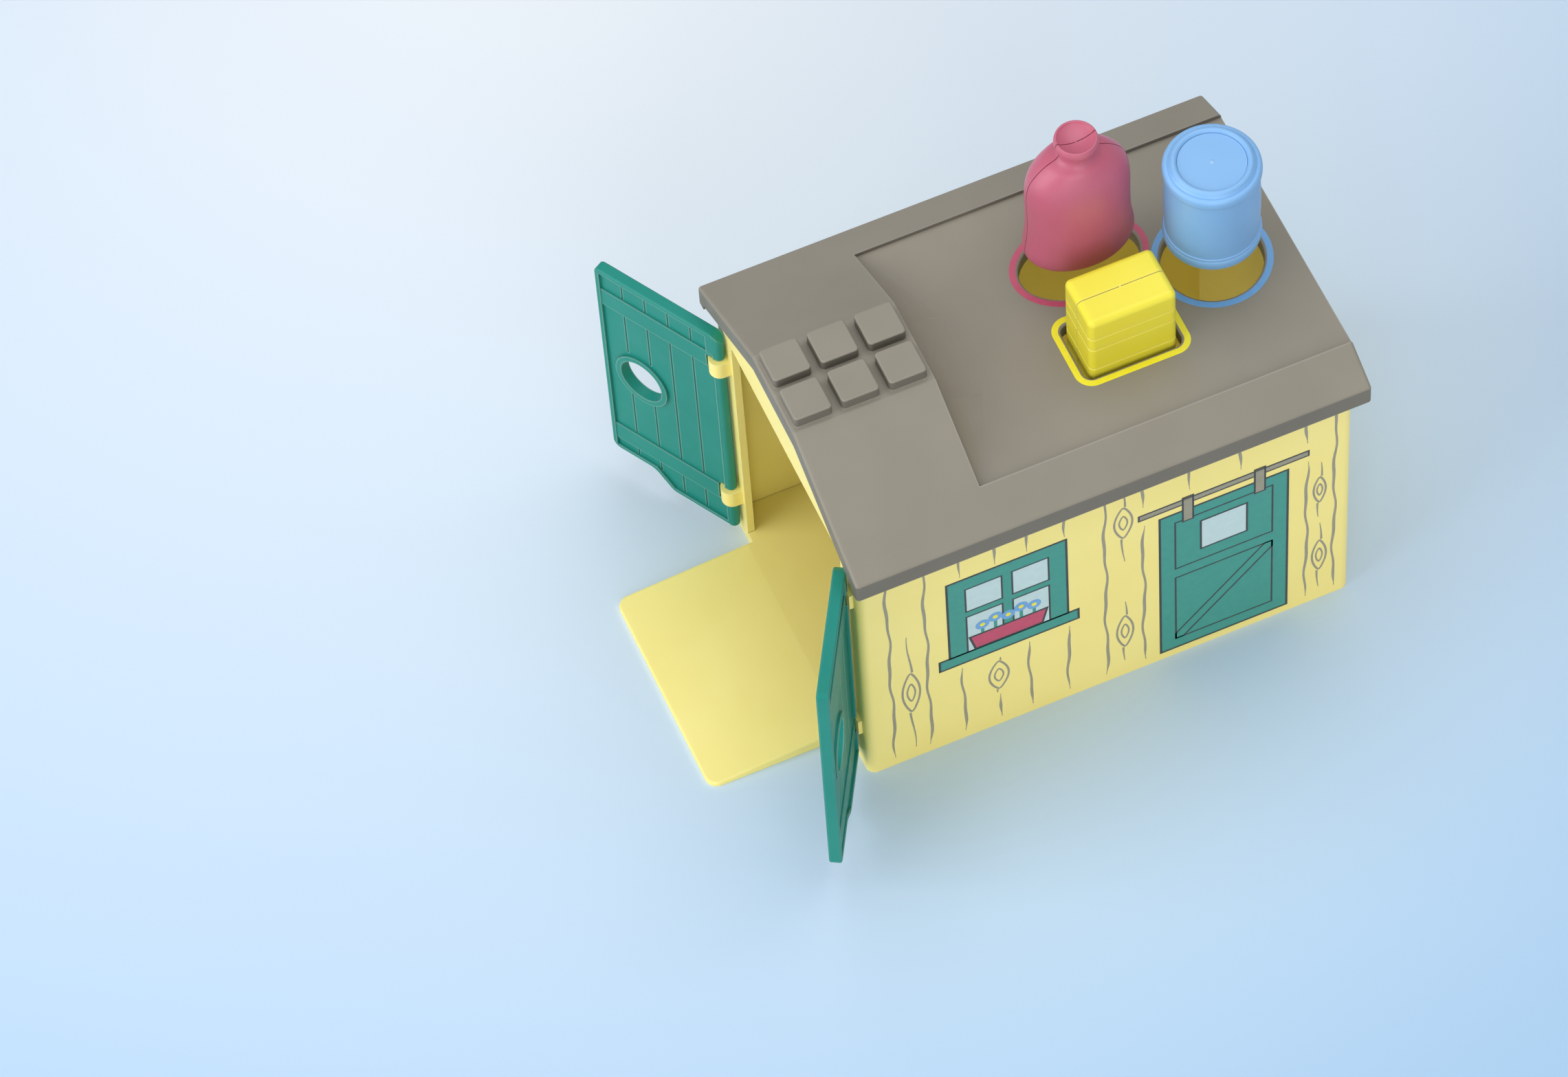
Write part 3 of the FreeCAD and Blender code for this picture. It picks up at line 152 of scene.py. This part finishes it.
def moulded_abs(name, shade, tint, gloss, painted_edge_highlight, sheen_level=0.5, upright=1.0):
    """Dyed ABS: shade to tint over the flow clouds, painted shade (times upright) on upright faces, painted
    highlight at edges.
    """
    material, tree = new_material(name)
    place = add_node(tree, "ShaderNodeTexCoord")
    flow = add_node(tree, "ShaderNodeTexNoise", {
        "Vector": (place, "Object"), "Scale": 1 / FLOW_CLOUD, "Detail": 2.0})
    dye = colour_ramp(tree, (flow, "Fac"), 0.3, 0.7, shade, tint)
    sheen = add_node(tree, "ShaderNodeTexNoise", {"Vector": (place, "Object"), "Scale": 1 / GLOSS_CLOUD})
    rough = add_node(tree, "ShaderNodeMapRange", {
        "Value": (sheen, "Fac"), "From Min": 0.3, "From Max": 0.7,
        "To Min": 0.95 - gloss, "To Max": 1.05 - gloss})
    # Painted shade: faces with a small z normal are darkened down to the factor upright, for the lower light
    # that steep faces get.
    facing = add_node(tree, "ShaderNodeSeparateXYZ", {"Vector": (place, "Normal")})
    level = add_node(tree, "ShaderNodeMath", {0: (facing, "Z")}, operation="ABSOLUTE")
    painted_upright_shade = add_node(tree, "ShaderNodeMapRange", {
        "Value": (level, 0), "From Min": 0.1, "From Max": 0.5, "To Min": upright, "To Max": 1.0})
    dyed = add_node(tree, "ShaderNodeVectorMath", {0: (dye, "Color"), "Scale": (painted_upright_shade, "Result")},
                    operation="SCALE")
    # Painted highlight: where the inward rays meet the other side of an edge, white is mixed into the colour,
    # for the light that rounded edges catch.
    inward = add_node(tree, "ShaderNodeAmbientOcclusion", {"Distance": EDGE_HIGHLIGHT_REACH},
                      samples=EDGE_SAMPLES, inside=True, only_local=True)
    painted_highlight_share = add_node(tree, "ShaderNodeMapRange", {
        "Value": (inward, "AO"), "From Min": 1.0, "From Max": 0.5, "To Max": painted_edge_highlight})
    colour = mix_colours(tree, (painted_highlight_share, "Result"), (dyed, "Vector"), linear("#ffffff"))
    grain = add_node(tree, "ShaderNodeTexNoise", {"Vector": (place, "Object"), "Scale": 1 / MOULD_GRAIN})
    edge = add_node(tree, "ShaderNodeBevel", {"Radius": EDGE_ROUND}, samples=EDGE_SAMPLES)
    bump = add_node(tree, "ShaderNodeBump", {
        "Height": (grain, "Fac"), "Strength": 0.12, "Distance": GRAIN_DEPTH, "Normal": (edge, "Normal")})
    shader = add_node(tree, "ShaderNodeBsdfPrincipled", {
        "Base Color": colour, "Roughness": (rough, "Result"), "Normal": (bump, "Normal"), "IOR": ABS_IOR,
        "Specular IOR Level": sheen_level})
    add_node(tree, "ShaderNodeOutputMaterial", {"Surface": (shader, "BSDF")})
    return material


# The fifth value of each finish is the white of its painted edge highlight; upright, on roof and barrel,
# darkens steep faces as painted shade.
FINISHES = {
    "wall_yellow": moulded_abs("abs_moulded_butter_yellow", "#faeb8b", "#fdef93", 0.58, 0.12),
    "roof_taupe": moulded_abs("abs_moulded_taupe", "#8c877b", "#918c80", 0.57, 0.1,
                              sheen_level=0.2, upright=0.64),
    "door_teal": moulded_abs("abs_moulded_teal", "#1e867b", "#238c80", 0.55, 0.2, sheen_level=0.15),
    "sack_pink": moulded_abs("abs_moulded_rose", "#bf5f78", "#c4657e", 0.6, 0.0),
    "bale_yellow": moulded_abs("abs_moulded_lemon", "#efe23a", "#f3e742", 0.6, 0.14),
    "barrel_blue": moulded_abs("abs_moulded_sky_blue", "#7fb5ea", "#84baee", 0.6, 0.1, upright=0.9),
}
PIECES = {
    "wall_yellow": ["wall_shell", "floor_ramp"], "roof_taupe": ["roof_shell"],
    "door_teal": ["left_door", "right_door"], "sack_pink": ["sack_left_half", "sack_right_half"],
    "bale_yellow": ["bale_left_half", "bale_right_half"], "barrel_blue": ["barrel_body", "barrel_lid"],
}
for slot, names in PIECES.items():
    for name in names:
        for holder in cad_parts[name].material_slots:
            holder.material = FINISHES[slot]
print("plastics:", ", ".join(material.name for material in FINISHES.values()))

# %% [markdown]
# ## Printed inks
# The picture on the walls and the rings around the holes are pad-printed: a soft pad lays down an ink film
# a few hundredths of a millimetre thick. Ink could be painted by the plastic's own nodes, but its edges
# would blur when a texture is baked. So each stroke is a thin closed band just proud of the plastic. The
# film is drawn 0.05 to 0.15 mm thick, thicker for each later ink, so that the layers don't flicker.
# Dried ink is a little glossier than the grained plastic, with a faint mottle from the pad.

# %% Ink
PAD_MOTTLE = 3 * MM
INK_IOR = 1.5


def pad_ink(name, shade, tint):
    """Printed ink film: colour between shade and tint over the pad's mottle, even gloss."""
    material, tree = new_material(name)
    place = add_node(tree, "ShaderNodeTexCoord")
    mottle = add_node(tree, "ShaderNodeTexNoise", {
        "Vector": (place, "Object"), "Scale": 1 / PAD_MOTTLE, "Detail": 3.0})
    film = colour_ramp(tree, (mottle, "Fac"), 0.35, 0.65, shade, tint)
    rough = add_node(tree, "ShaderNodeMapRange", {"Value": (mottle, "Fac"), "To Min": 0.38, "To Max": 0.5})
    shader = add_node(tree, "ShaderNodeBsdfPrincipled", {
        "Base Color": (film, "Color"), "Roughness": (rough, "Result"), "IOR": INK_IOR})
    add_node(tree, "ShaderNodeOutputMaterial", {"Surface": (shader, "BSDF")})
    return material


INKS = {
    "grain": pad_ink("pad_printed_grey_brown_ink", "#979380", "#9e9a87"),
    "teal": pad_ink("pad_printed_teal_ink", "#37968a", "#3c9b8f"),
    "pane": pad_ink("pad_printed_pale_blue_ink", "#bfdadf", "#c4dee3"),
    "line": pad_ink("pad_printed_charcoal_ink", "#36393a", "#3c4041"),
    "crimson": pad_ink("pad_printed_crimson_ink", "#c24467", "#c7496c"),
    "blue": pad_ink("pad_printed_blue_ink", "#6ba6de", "#70abe3"),
    "lemon": pad_ink("pad_printed_lemon_ink", "#f3e72a", "#f8ed32"),
    "rose": pad_ink("pad_printed_rose_ink", "#bd4c6b", "#c25170"),
}

# %% [markdown]
# ## A stroke of ink
# Every stroke is the same surface: two edge lines, and between them a flat band with a thin oblong section.
# The section's four corners are carried along the edges as one array of points, and the faces are index
# arithmetic on a grid. A closed stroke joins its last section to its first, and an open one gets two caps.
# New pieces are drawn in millimetres, and one function turns them into metres when it makes the mesh.

# %% Strokes
SINK = 0.05
FILM_1, FILM_2, FILM_3, FILM_4, FILM_5, FILM_6 = 0.05, 0.07, 0.09, 0.11, 0.13, 0.15
RING_FILM, LEAF_FILM = 0.06, 0.10


def band(edge_a, edge_b, lift, closed=False):
    """Band between two edge lines: four corners, SINK below and lift above, carried along both edges."""
    edge_a, edge_b = np.asarray(edge_a, float), np.asarray(edge_b, float)
    count = len(edge_a)
    below, above = np.full((count, 1), -SINK), np.full((count, 1), lift)
    corners = [np.hstack(pair) for pair in (
        (edge_a, below), (edge_b, below), (edge_b, above), (edge_a, above))]
    points = np.stack(corners, axis=1).reshape(-1, 3)
    grid = np.arange(count * 4).reshape(count, 4)
    here, there = (grid, np.roll(grid, -1, axis=0)) if closed else (grid[:-1], grid[1:])
    faces = np.stack([here, np.roll(here, -1, axis=1), np.roll(there, -1, axis=1), there], axis=-1)
    faces = faces.reshape(-1, 4)
    if not closed:
        faces = np.vstack([faces, grid[:1, ::-1], grid[-1:]])
    return points, faces


def stroke(path, width, lift, closed=False):
    """Band of a given width along a path: the edges are the path moved half a width along its normals."""
    path = np.asarray(path, float)
    if closed:
        along = np.roll(path, -1, axis=0) - np.roll(path, 1, axis=0)
    else:
        along = np.gradient(path, axis=0)
    along /= np.linalg.norm(along, axis=1, keepdims=True)
    normal = np.column_stack([-along[:, 1], along[:, 0]])
    half = np.broadcast_to(np.asarray(width, float) / 2, len(path))[:, None]
    return band(path - normal * half, path + normal * half, lift, closed)


def add_piece(name, points, faces, material):
    """New object at the origin whose mesh has the points, given in millimetres, and the faces."""
    mesh = bpy.data.meshes.new(name)
    mesh.from_pydata((points * MM).tolist(), [], faces)
    mesh.materials.append(material)
    piece = bpy.data.objects.new(name, mesh)
    scene.collection.objects.link(piece)
    print(name, len(mesh.polygons), "faces")
    return piece


def ink_piece(name, bands, place, ink):
    """One mesh of all bands; place turns (u, v, height) into points of the house."""
    points, faces, start = [], [], 0
    for flat, quads in bands:
        solid = place(flat)
        a, b, c, d = (solid[quads[:, i]] for i in range(4))
        volume = np.einsum("ij,ij->", a, np.cross(b, c)) + np.einsum("ij,ij->", a, np.cross(c, d))
        points.append(solid)
        faces.append((quads if volume > 0 else quads[:, ::-1]) + start)
        start += len(solid)
    piece = add_piece(name, np.vstack(points), np.vstack(faces).tolist(), INKS[ink])
    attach(piece, "house")


# %% [markdown]
# ## Rings around the sorting holes
# Each hole has a ring in the colour of its block, an even distance from the rim. An offset of an oval is
# not an oval, so the outline is moved along its own normals, which keeps the ring equally wide all round.

# %% Rings
PANEL_TOP = 142.65
RING_GAP, RING_WIDTH = 0.95, 2.3
SACK_AT, BALE_AT, BARREL_AT = (-19.35, 27.05), (16.3, 26.95), (-0.4, 69.9)
turn = np.linspace(0, 2 * np.pi, 160, endpoint=False)


def grown_oval(half_x, half_y, growth):
    """Oval (half_x cos t, half_y sin t) moved outward along its normal (half_y cos t, half_x sin t)."""
    normal = np.column_stack([half_y * np.cos(turn), half_x * np.sin(turn)])
    normal /= np.linalg.norm(normal, axis=1, keepdims=True)
    return np.column_stack([half_x * np.cos(turn), half_y * np.sin(turn)]) + growth * normal


def grown_oblong(half_x, half_y, corner, growth):
    """Oblong with round corners: a circle of the grown corner radius around four corner centres."""
    centre = np.column_stack([np.sign(np.cos(turn + 1e-6)) * (half_x - corner),
                              np.sign(np.sin(turn + 1e-6)) * (half_y - corner)])
    return centre + (corner + growth) * np.column_stack([np.cos(turn), np.sin(turn)])


def on_panel(flat):
    """Takes (x, y, lift) to the sunk panel of the roof."""
    return flat + np.array([0, 0, PANEL_TOP])


for name, middle, grown, ink, slot in (
    ("ring_sack", SACK_AT, lambda growth: grown_oval(15.445, 22.5, growth), "rose", "sack_pink"),
    ("ring_bale", BALE_AT, lambda growth: grown_oblong(12.42, 18.77, 3.3, growth), "lemon", "bale_yellow"),
    ("ring_barrel", BARREL_AT, lambda growth: grown_oval(18.4, 18.4, growth), "blue", "barrel_blue"),
):
    inner, outer = grown(RING_GAP) + middle, grown(RING_GAP + RING_WIDTH) + middle
    ink_piece(name, [band(inner, outer, RING_FILM, closed=True)], on_panel, ink)

# %% [markdown]
# ## Plank lines and knots on the side walls
# The side walls are printed as upright boards: a wavy line for each joint, thinner at its ends, and here
# and there a knot, two eye-shaped loops with a tail of grain. A line is a sum of two sine waves along its
# height. It is broken where a printed window or door covers it.

# %% Boards
WALL_SIDE = 62.5
LINE_LOW, LINE_HIGH = 4.8, 124.0
LINE_WIDTH = 1.05
WHOLE = [(LINE_LOW, LINE_HIGH)]
ROUND_WINDOW = [(LINE_LOW, 47), (106, LINE_HIGH)]
WINDOW_AND_KNOT = [(LINE_LOW, 20), (106, LINE_HIGH)]
ABOVE_RAIL = [(105, LINE_HIGH)]
ROUND_RAIL = [(LINE_LOW, 93), (105, LINE_HIGH)]
BOARD_LINES = (
    (-84.8, WHOLE), (-70.6, WHOLE), (-57.3, ROUND_WINDOW), (-43.5, WINDOW_AND_KNOT),
    (-31.3, ROUND_WINDOW), (-16.2, ROUND_WINDOW), (-1.2, WHOLE), (13.6, ROUND_RAIL),
    (31.2, ABOVE_RAIL), (51.5, ABOVE_RAIL), (77.5, ROUND_RAIL), (88.4, WHOLE),
)
KNOTS = (
    (-77.4, 44.0, 3.4, 12.5, 24.0), (6.0, 100.0, 3.5, 9.5, 15.0), (6.0, 29.0, 3.2, 10.0, 9.0),
    (-43.5, 33.0, 3.8, 9.0, 2.0), (82.8, 29.0, 2.8, 9.5, 11.0), (82.6, 72.0, 2.4, 8.0, 9.0),
)


def wavy_line(along, low, high, seed):
    """Joint line y = along + 0.5 sin(2 pi z / 47 + seed) + 0.25 sin(2 pi z / 19 + 2 seed), with thin ends."""
    z = np.linspace(low, high, max(12, int((high - low) / 2)))
    y = along + 0.5 * np.sin(2 * np.pi * z / 47 + seed) + 0.25 * np.sin(2 * np.pi * z / 19 + 2 * seed)
    taper = np.clip(np.minimum(z - low, high - z) / 7, 0.25, 1.0)
    return stroke(np.column_stack([y, z]), LINE_WIDTH * taper * (1 + 0.2 * np.sin(z / 6 + seed)), FILM_1)


def knot(along, height, half_width, half_height, tail):
    """Knot: two loops y = a cos t (1 - 0.45 sin^2 t), z = b sin t, and a tail below and above."""
    t = np.linspace(0, 2 * np.pi, 48, endpoint=False)
    eye = np.column_stack([np.cos(t) * (1 - 0.45 * np.sin(t) ** 2), np.sin(t)])
    bands = []
    for size, width in ((1.0, 0.85), (0.45, 0.7)):
        loop = eye * size * (half_width, half_height) + (along, height)
        bands.append(stroke(loop, width, FILM_1, closed=True))
    for sign in (1, -1):
        z = height + sign * np.linspace(half_height * 1.05, half_height * 1.05 + tail, 12)
        y = along + 0.8 * np.sin((z - height) / 7)
        bands.append(stroke(np.column_stack([y, z]), np.linspace(0.9, 0.3, 12), FILM_1))
    return bands


boards = []
for along, spans in BOARD_LINES:
    boards += [wavy_line(along, low, high, along) for low, high in spans]
for sizes in KNOTS:
    boards += knot(*sizes)


def on_wall(side):
    """Takes (along, height, lift) to the right (1) or left (-1) side wall."""
    return lambda flat: np.column_stack([side * (WALL_SIDE + flat[:, 2]), flat[:, 0], flat[:, 1]])


for side, word in ((1, "right"), (-1, "left")):
    ink_piece(f"{word}_board_lines", boards, on_wall(side), "grain")

# %% [markdown]
# ## A printed window and a printed sliding door
# Near the front the wall shows a window with four panes, a sill and a flower box; near the back a barn
# door hangs from a rail. Each shape is filled with its own ink, then drawn round with a charcoal line.
# A bar is a band between two short edges, so a whole frame is a list of bars. A box is given by its two ends
# along the wall, front to back, and by its lower and upper height.

# %% Window and sliding door
WINDOW, GLASS, SILL = (-62, -16, 56, 104), (-58, -20, 56, 103), (-66, -12, 50, 56)
WINDOW_BARS = [(-62, -55, 56, 104), (-23, -16, 56, 104), (-55, -23, 97, 104), (-41, -37, 56, 97),
               (-55, -41, 79, 82.5), (-37, -23, 79, 82.5)]
WINDOW_PANES = [(left, right, low, high) for low, high in ((56, 79), (82.5, 97))
                for left, right in ((-55, -41), (-37, -23))]
FLOWER_BOX = [(-52, 56.6), (-26, 56.6), (-24, 65), (-54, 65)]
STEM_FOOT, FLOWER_HEIGHT, FLOWER_STEP = 64.5, 70.5, 1.8
STEM_WIDTH, PETAL_RADIUS, HEART_RADIUS = 1.3, 2.7, 1.0
DOOR, DOOR_PANE = (20, 70, 4.6, 93), (36, 54, 64, 82)
DOOR_PANELS = [(26, 64, 10.6, 51), (26, 64, 57, 87)]
DOOR_BRACE = [(29, 10.6), (64, 47.5), (64, 51), (61, 51), (26, 14), (26, 10.6)]
RAIL, HANGERS = (12, 78, 97, 100), [(29, 33), (57, 61)]
HANGER_FILL, HANGER_LINE = (86, 99), (86, 101)
THIN_LINE, PANE_LINE, LINE = 0.7, 0.8, 0.9


def bar(left, right, low, high, lift):
    """Filled oblong: the band between its lower and its upper edge."""
    return band([(left, low), (right, low)], [(left, high), (right, high)], lift)


def outline(corners, lift, width=LINE):
    """Closed line around corners: each corner moved in and out along its mitre by half the width."""
    corners = np.asarray(corners, float)
    ahead = np.roll(corners, -1, axis=0) - corners
    ahead /= np.linalg.norm(ahead, axis=1, keepdims=True)
    behind = np.roll(ahead, 1, axis=0)
    normals = [np.column_stack([side[:, 1], -side[:, 0]]) for side in (ahead, behind)]
    mitre = normals[0] + normals[1]
    mitre /= np.einsum("ij,ij->i", mitre, normals[0])[:, None]
    return band(corners - mitre * width / 2, corners + mitre * width / 2, lift, closed=True)


def oblong(left, right, low, high):
    """Corners of a box."""
    return [(left, low), (right, low), (right, high), (left, high)]


def disc(along, height, radius, lift):
    """Disc: the band between its lower and its upper half circle."""
    t = np.linspace(0.03, np.pi - 0.03, 14)
    lower = np.column_stack([np.cos(t), -np.sin(t)]) * radius + (along, height)
    upper = np.column_stack([np.cos(t), np.sin(t)]) * radius + (along, height)
    return band(lower, upper, lift)


panes = [bar(*GLASS, FILM_1), bar(*DOOR_PANE, FILM_2)]
teal = [bar(*box, FILM_2) for box in WINDOW_BARS + [SILL]] + [bar(*DOOR, FILM_1)]
crimson = [band(FLOWER_BOX[:2], [FLOWER_BOX[3], FLOWER_BOX[2]], FILM_4)]
rail = [bar(*RAIL, FILM_2)] + [bar(*ends, *HANGER_FILL, FILM_4) for ends in HANGERS]
lines = [outline(oblong(*WINDOW), FILM_3)]
lines += [outline(oblong(*pane), FILM_3, THIN_LINE) for pane in WINDOW_PANES]
lines += [outline(oblong(*SILL), FILM_3), outline(FLOWER_BOX, FILM_5), outline(oblong(*DOOR), FILM_3)]
lines += [outline(oblong(*panel), FILM_3, THIN_LINE) for panel in DOOR_PANELS]
lines += [outline(oblong(*DOOR_PANE), FILM_4, PANE_LINE), outline(DOOR_BRACE, FILM_3, THIN_LINE),
          outline(oblong(*RAIL), FILM_3, THIN_LINE)]
lines += [outline(oblong(*ends, *HANGER_LINE), FILM_5, THIN_LINE) for ends in HANGERS]
leaves, blue, lemon = [], [], []
for number, along in enumerate(np.linspace(-49, -29, 5)):
    height = FLOWER_HEIGHT + FLOWER_STEP * (number % 2)
    leaves.append(stroke([(along, STEM_FOOT), (along, height)], STEM_WIDTH, LEAF_FILM))
    blue.append(disc(along, height, PETAL_RADIUS, FILM_5))
    lemon.append(disc(along, height, HEART_RADIUS, FILM_6))

for side, word in ((1, "right"), (-1, "left")):
    for name, bands, ink in (
        ("panes", panes, "pane"), ("frames", teal + leaves, "teal"), ("rail", rail, "grain"),
        ("flower_box", crimson, "crimson"), ("outlines", lines, "line"), ("petals", blue, "blue"),
        ("flower_hearts", lemon, "lemon"),
    ):
        ink_piece(f"{word}_{name}", bands, on_wall(side), ink)

# %% [markdown]
# ## Gate marks
# Where the melt flowed into the mould, a thread of plastic is snapped off and leaves a small nub. Each
# block has one in the middle of its top: on the lid of the barrel, and on the seams of bale and sack.

# %% Gate marks
def gate_mark(name, body, slot, centre, radius, height):
    """Nub at the height z = height (1 - (r / radius)^2) over a circle, closed by a flat underside."""
    share = np.array([0.35, 0.7, 1.0])
    reach = np.append(share, 1.0)[:, None] * radius
    level = np.append(height * (1 - share ** 2), -height)[:, None]
    t = np.linspace(0, 2 * np.pi, 24, endpoint=False)
    rings = np.stack([reach * np.cos(t), reach * np.sin(t), level + 0 * t], axis=-1).reshape(-1, 3)
    points = np.vstack([rings, [(0, 0, height), (0, 0, -height)]]) + centre
    here = np.arange(len(rings)).reshape(len(reach), len(t))
    there = np.roll(here, -1, axis=1)
    flank = np.stack([here[1:], there[1:], there[:-1], here[:-1]], axis=-1).reshape(-1, 4)
    crown = np.stack([here[0], there[0], np.full(len(t), len(rings))], axis=-1)
    foot = np.stack([there[-1], here[-1], np.full(len(t), len(rings) + 1)], axis=-1)
    piece = add_piece(name, points, flank.tolist() + crown.tolist() + foot.tolist(), FINISHES[slot])
    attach(piece, body)


gate_mark("gate_barrel", "barrel", "barrel_blue", (*BARREL_AT, 200.2), radius=0.9, height=0.15)
gate_mark("gate_bale", "bale", "bale_yellow", (*BALE_AT, 172.95), radius=0.4, height=0.2)
gate_mark("gate_sack", "sack", "sack_pink", (*SACK_AT, 213.7), radius=0.4, height=0.2)

# %% [markdown]
# ## Beads on the barrel and the sack
# The two hoops of the barrel swell into full, rounded beads, with a neck between the upper one and the rim.
# The tied top of the sack has a round lip that the seam divides. Each bead is a small closed section,
# carried around an upright axis. A whole ring closes on itself, so the neighbours of a point are found by
# rolling the grid of points. A part of a ring gets two flat caps.

# %% Beads
HOOPS = (("upper", 196.9), ("lower", 161.5))
HOOP_INNER, HOOP_SWELL, HOOP_HALF = 15.2, 2.35, 2.6
LIP_RADIUS, LIP_HEIGHT = 7.1, 215.85
LIP_REACH, LIP_RISE = 0.5, 0.4
SEAM_SHARE = 0.15 / LIP_RADIUS


def bead(name, body, slot, axis, section, angles, whole):
    """Ring or part of a ring: the section (reach, level) at the angles around an upright axis."""
    reach, level = section
    t = angles[:, None]
    points = np.stack([axis[0] + reach * np.cos(t), axis[1] + reach * np.sin(t), level + 0 * t], axis=-1)
    grid = np.arange(points[..., 0].size).reshape(points.shape[:2])
    here, there = (grid, np.roll(grid, -1, axis=0)) if whole else (grid[:-1], grid[1:])
    quads = np.stack([here, there, np.roll(there, -1, axis=1), np.roll(here, -1, axis=1)], axis=-1)
    quads = quads.reshape(-1, 4).tolist()
    caps = [] if whole else [grid[0].tolist(), grid[-1, ::-1].tolist()]
    piece = add_piece(name, points.reshape(-1, 3), quads + caps, FINISHES[slot])
    polygons = piece.data.polygons
    polygons.foreach_set("use_smooth", np.arange(len(polygons)) < len(quads))
    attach(piece, body)


def hoop_section(height):
    """Hoop r = inner + swell sin(u)^0.4, z = height - half cos(u); its straight inner side is hidden."""
    u = np.linspace(0, np.pi, 32)
    return HOOP_INNER + HOOP_SWELL * np.clip(np.sin(u), 0, 1) ** 0.4, height - HOOP_HALF * np.cos(u)


around = np.linspace(0, 2 * np.pi, 120, endpoint=False)
for word, height in HOOPS:
    bead(f"hoop_bead_{word}", "barrel", "barrel_blue", BARREL_AT, hoop_section(height), around, True)

u = np.linspace(-np.pi, np.pi, 24, endpoint=False)
lip_section = (LIP_RADIUS + LIP_REACH * np.cos(u), LIP_HEIGHT + LIP_RISE * np.sin(u))
half_turn = np.linspace(-np.pi / 2 + SEAM_SHARE, np.pi / 2 - SEAM_SHARE, 60)
for word, start in (("right", 0), ("left", np.pi)):
    bead(f"sack_rim_{word}", "sack", "sack_pink", SACK_AT, lip_section, half_turn + start, False)

# %% [markdown]
# ## Floor and light
# Three large area lamps light the house: one from above, one from the front and one from the side of the
# camera. Large lamps give soft shadow edges, the world adds an even glow, and the levels are chosen so that
# a colour renders about as it is written. The floor is a sheet of paper that fades from near white behind
# the house to pale blue. A real blue sheet would tint all the shadows of the toy, so the Light Path node
# shows the blue to the camera and to reflections only, and light that bounces off the paper is grey-white.
# Far from the lamps the paper would turn dark, so there it changes into a haze of its own colour. The
# distances here are in metres.

# %% Studio
def studio_floor(half):
    """Flat floor: a grid of 2 by 2 points at height 0, far larger than the house."""
    across = np.array([-half, half])
    x, y = np.meshgrid(across, across)
    points = np.column_stack([x.ravel(), y.ravel(), np.zeros(4)])
    mesh = bpy.data.meshes.new("studio_floor")
    mesh.from_pydata(points.tolist(), [], [(0, 1, 3, 2)])
    return bpy.data.objects.new("studio_floor", mesh)


PAPER_NEAR, PAPER_FAR, PAPER_BOUNCE = "#f0f6fc", "#a8cdef", "#f2f2f2"
PAPER_MIDDLE = (-0.36, -0.06, 0.0)
FLOOR_HALF = 12.0
FADE_END = 0.68
HAZE_START, HAZE_END = 0.5, 1.1
GLOW = 0.32
LAMP_AIM = (0.0, 0.0, 0.1)

material, tree = new_material("paper_matt_pale_blue")
place = add_node(tree, "ShaderNodeTexCoord")
away = add_node(tree, "ShaderNodeVectorMath", {0: (place, "Object"), 1: PAPER_MIDDLE}, operation="DISTANCE")
fade = add_node(tree, "ShaderNodeMapRange", {"Value": (away, "Value"), "From Max": FADE_END})
paper = colour_ramp(tree, (fade, "Result"), 0.0, 1.0, PAPER_NEAR, PAPER_FAR)
ray = add_node(tree, "ShaderNodeLightPath")
mirrored = add_node(tree, "ShaderNodeMath", {0: (ray, "Is Camera Ray"), 1: (ray, "Is Glossy Ray")},
                    operation="MAXIMUM")
seen = add_node(tree, "ShaderNodeMath", {0: (mirrored, 0), 1: (ray, "Is Transmission Ray")},
                operation="MAXIMUM")
colour = mix_colours(tree, (seen, 0), linear(PAPER_BOUNCE), (paper, "Color"))
shader = add_node(tree, "ShaderNodeBsdfPrincipled", {"Base Color": colour, "Roughness": 0.9})
far = add_node(tree, "ShaderNodeMapRange", {
    "Value": (away, "Value"), "From Min": HAZE_START, "From Max": HAZE_END})
share = add_node(tree, "ShaderNodeMath", {0: (far, "Result"), 1: (seen, 0)}, operation="MULTIPLY")
haze = add_node(tree, "ShaderNodeEmission", {"Color": linear(PAPER_FAR), "Strength": 1.0})
surface = add_node(tree, "ShaderNodeMixShader", {0: (share, 0), 1: (shader, 0), 2: (haze, 0)})
add_node(tree, "ShaderNodeOutputMaterial", {"Surface": (surface, 0)})
floor = studio_floor(FLOOR_HALF)
floor.data.materials.append(material)
scene.collection.objects.link(floor)

world = bpy.data.worlds.new("studio_glow")
world.use_nodes = True
world.node_tree.nodes.clear()
tree = world.node_tree
ray = add_node(tree, "ShaderNodeLightPath")
glow = add_node(tree, "ShaderNodeBackground", {"Color": (1.0, 1.0, 1.0, 1.0), "Strength": GLOW})
backdrop = add_node(tree, "ShaderNodeBackground", {"Color": linear(PAPER_FAR), "Strength": 1.0})
surround = add_node(tree, "ShaderNodeMixShader", {
    0: (ray, "Is Camera Ray"), 1: (glow, 0), 2: (backdrop, 0)})
add_node(tree, "ShaderNodeOutputWorld", {"Surface": (surround, 0)})
scene.world = world


def soft_lamp(name, direction, distance, size, energy):
    """Square area lamp that faces the house from a direction; distance and size in metres."""
    lamp = bpy.data.lights.new(name, "AREA")
    lamp.size, lamp.energy = size, energy
    toward = np.array(direction, float) / np.linalg.norm(direction)
    side = np.cross([0.0, 0.0, 1.0], toward)
    side /= np.linalg.norm(side)
    matrix = np.eye(4)
    matrix[:3, :3] = np.column_stack([side, np.cross(toward, side), toward])
    matrix[:3, 3] = toward * distance + LAMP_AIM
    item = bpy.data.objects.new(name, lamp)
    item.matrix_world = Matrix(matrix.tolist())
    scene.collection.objects.link(item)
    print(name, energy, "W")


soft_lamp("top_lamp", (-0.1, 0.1, 1.0), distance=1.5, size=1.6, energy=13.5)
soft_lamp("front_lamp", (0.0, -0.9, 0.45), distance=1.8, size=1.5, energy=18.0)
soft_lamp("side_lamp", (0.9, -0.2, 0.4), distance=1.8, size=1.4, energy=11.0)
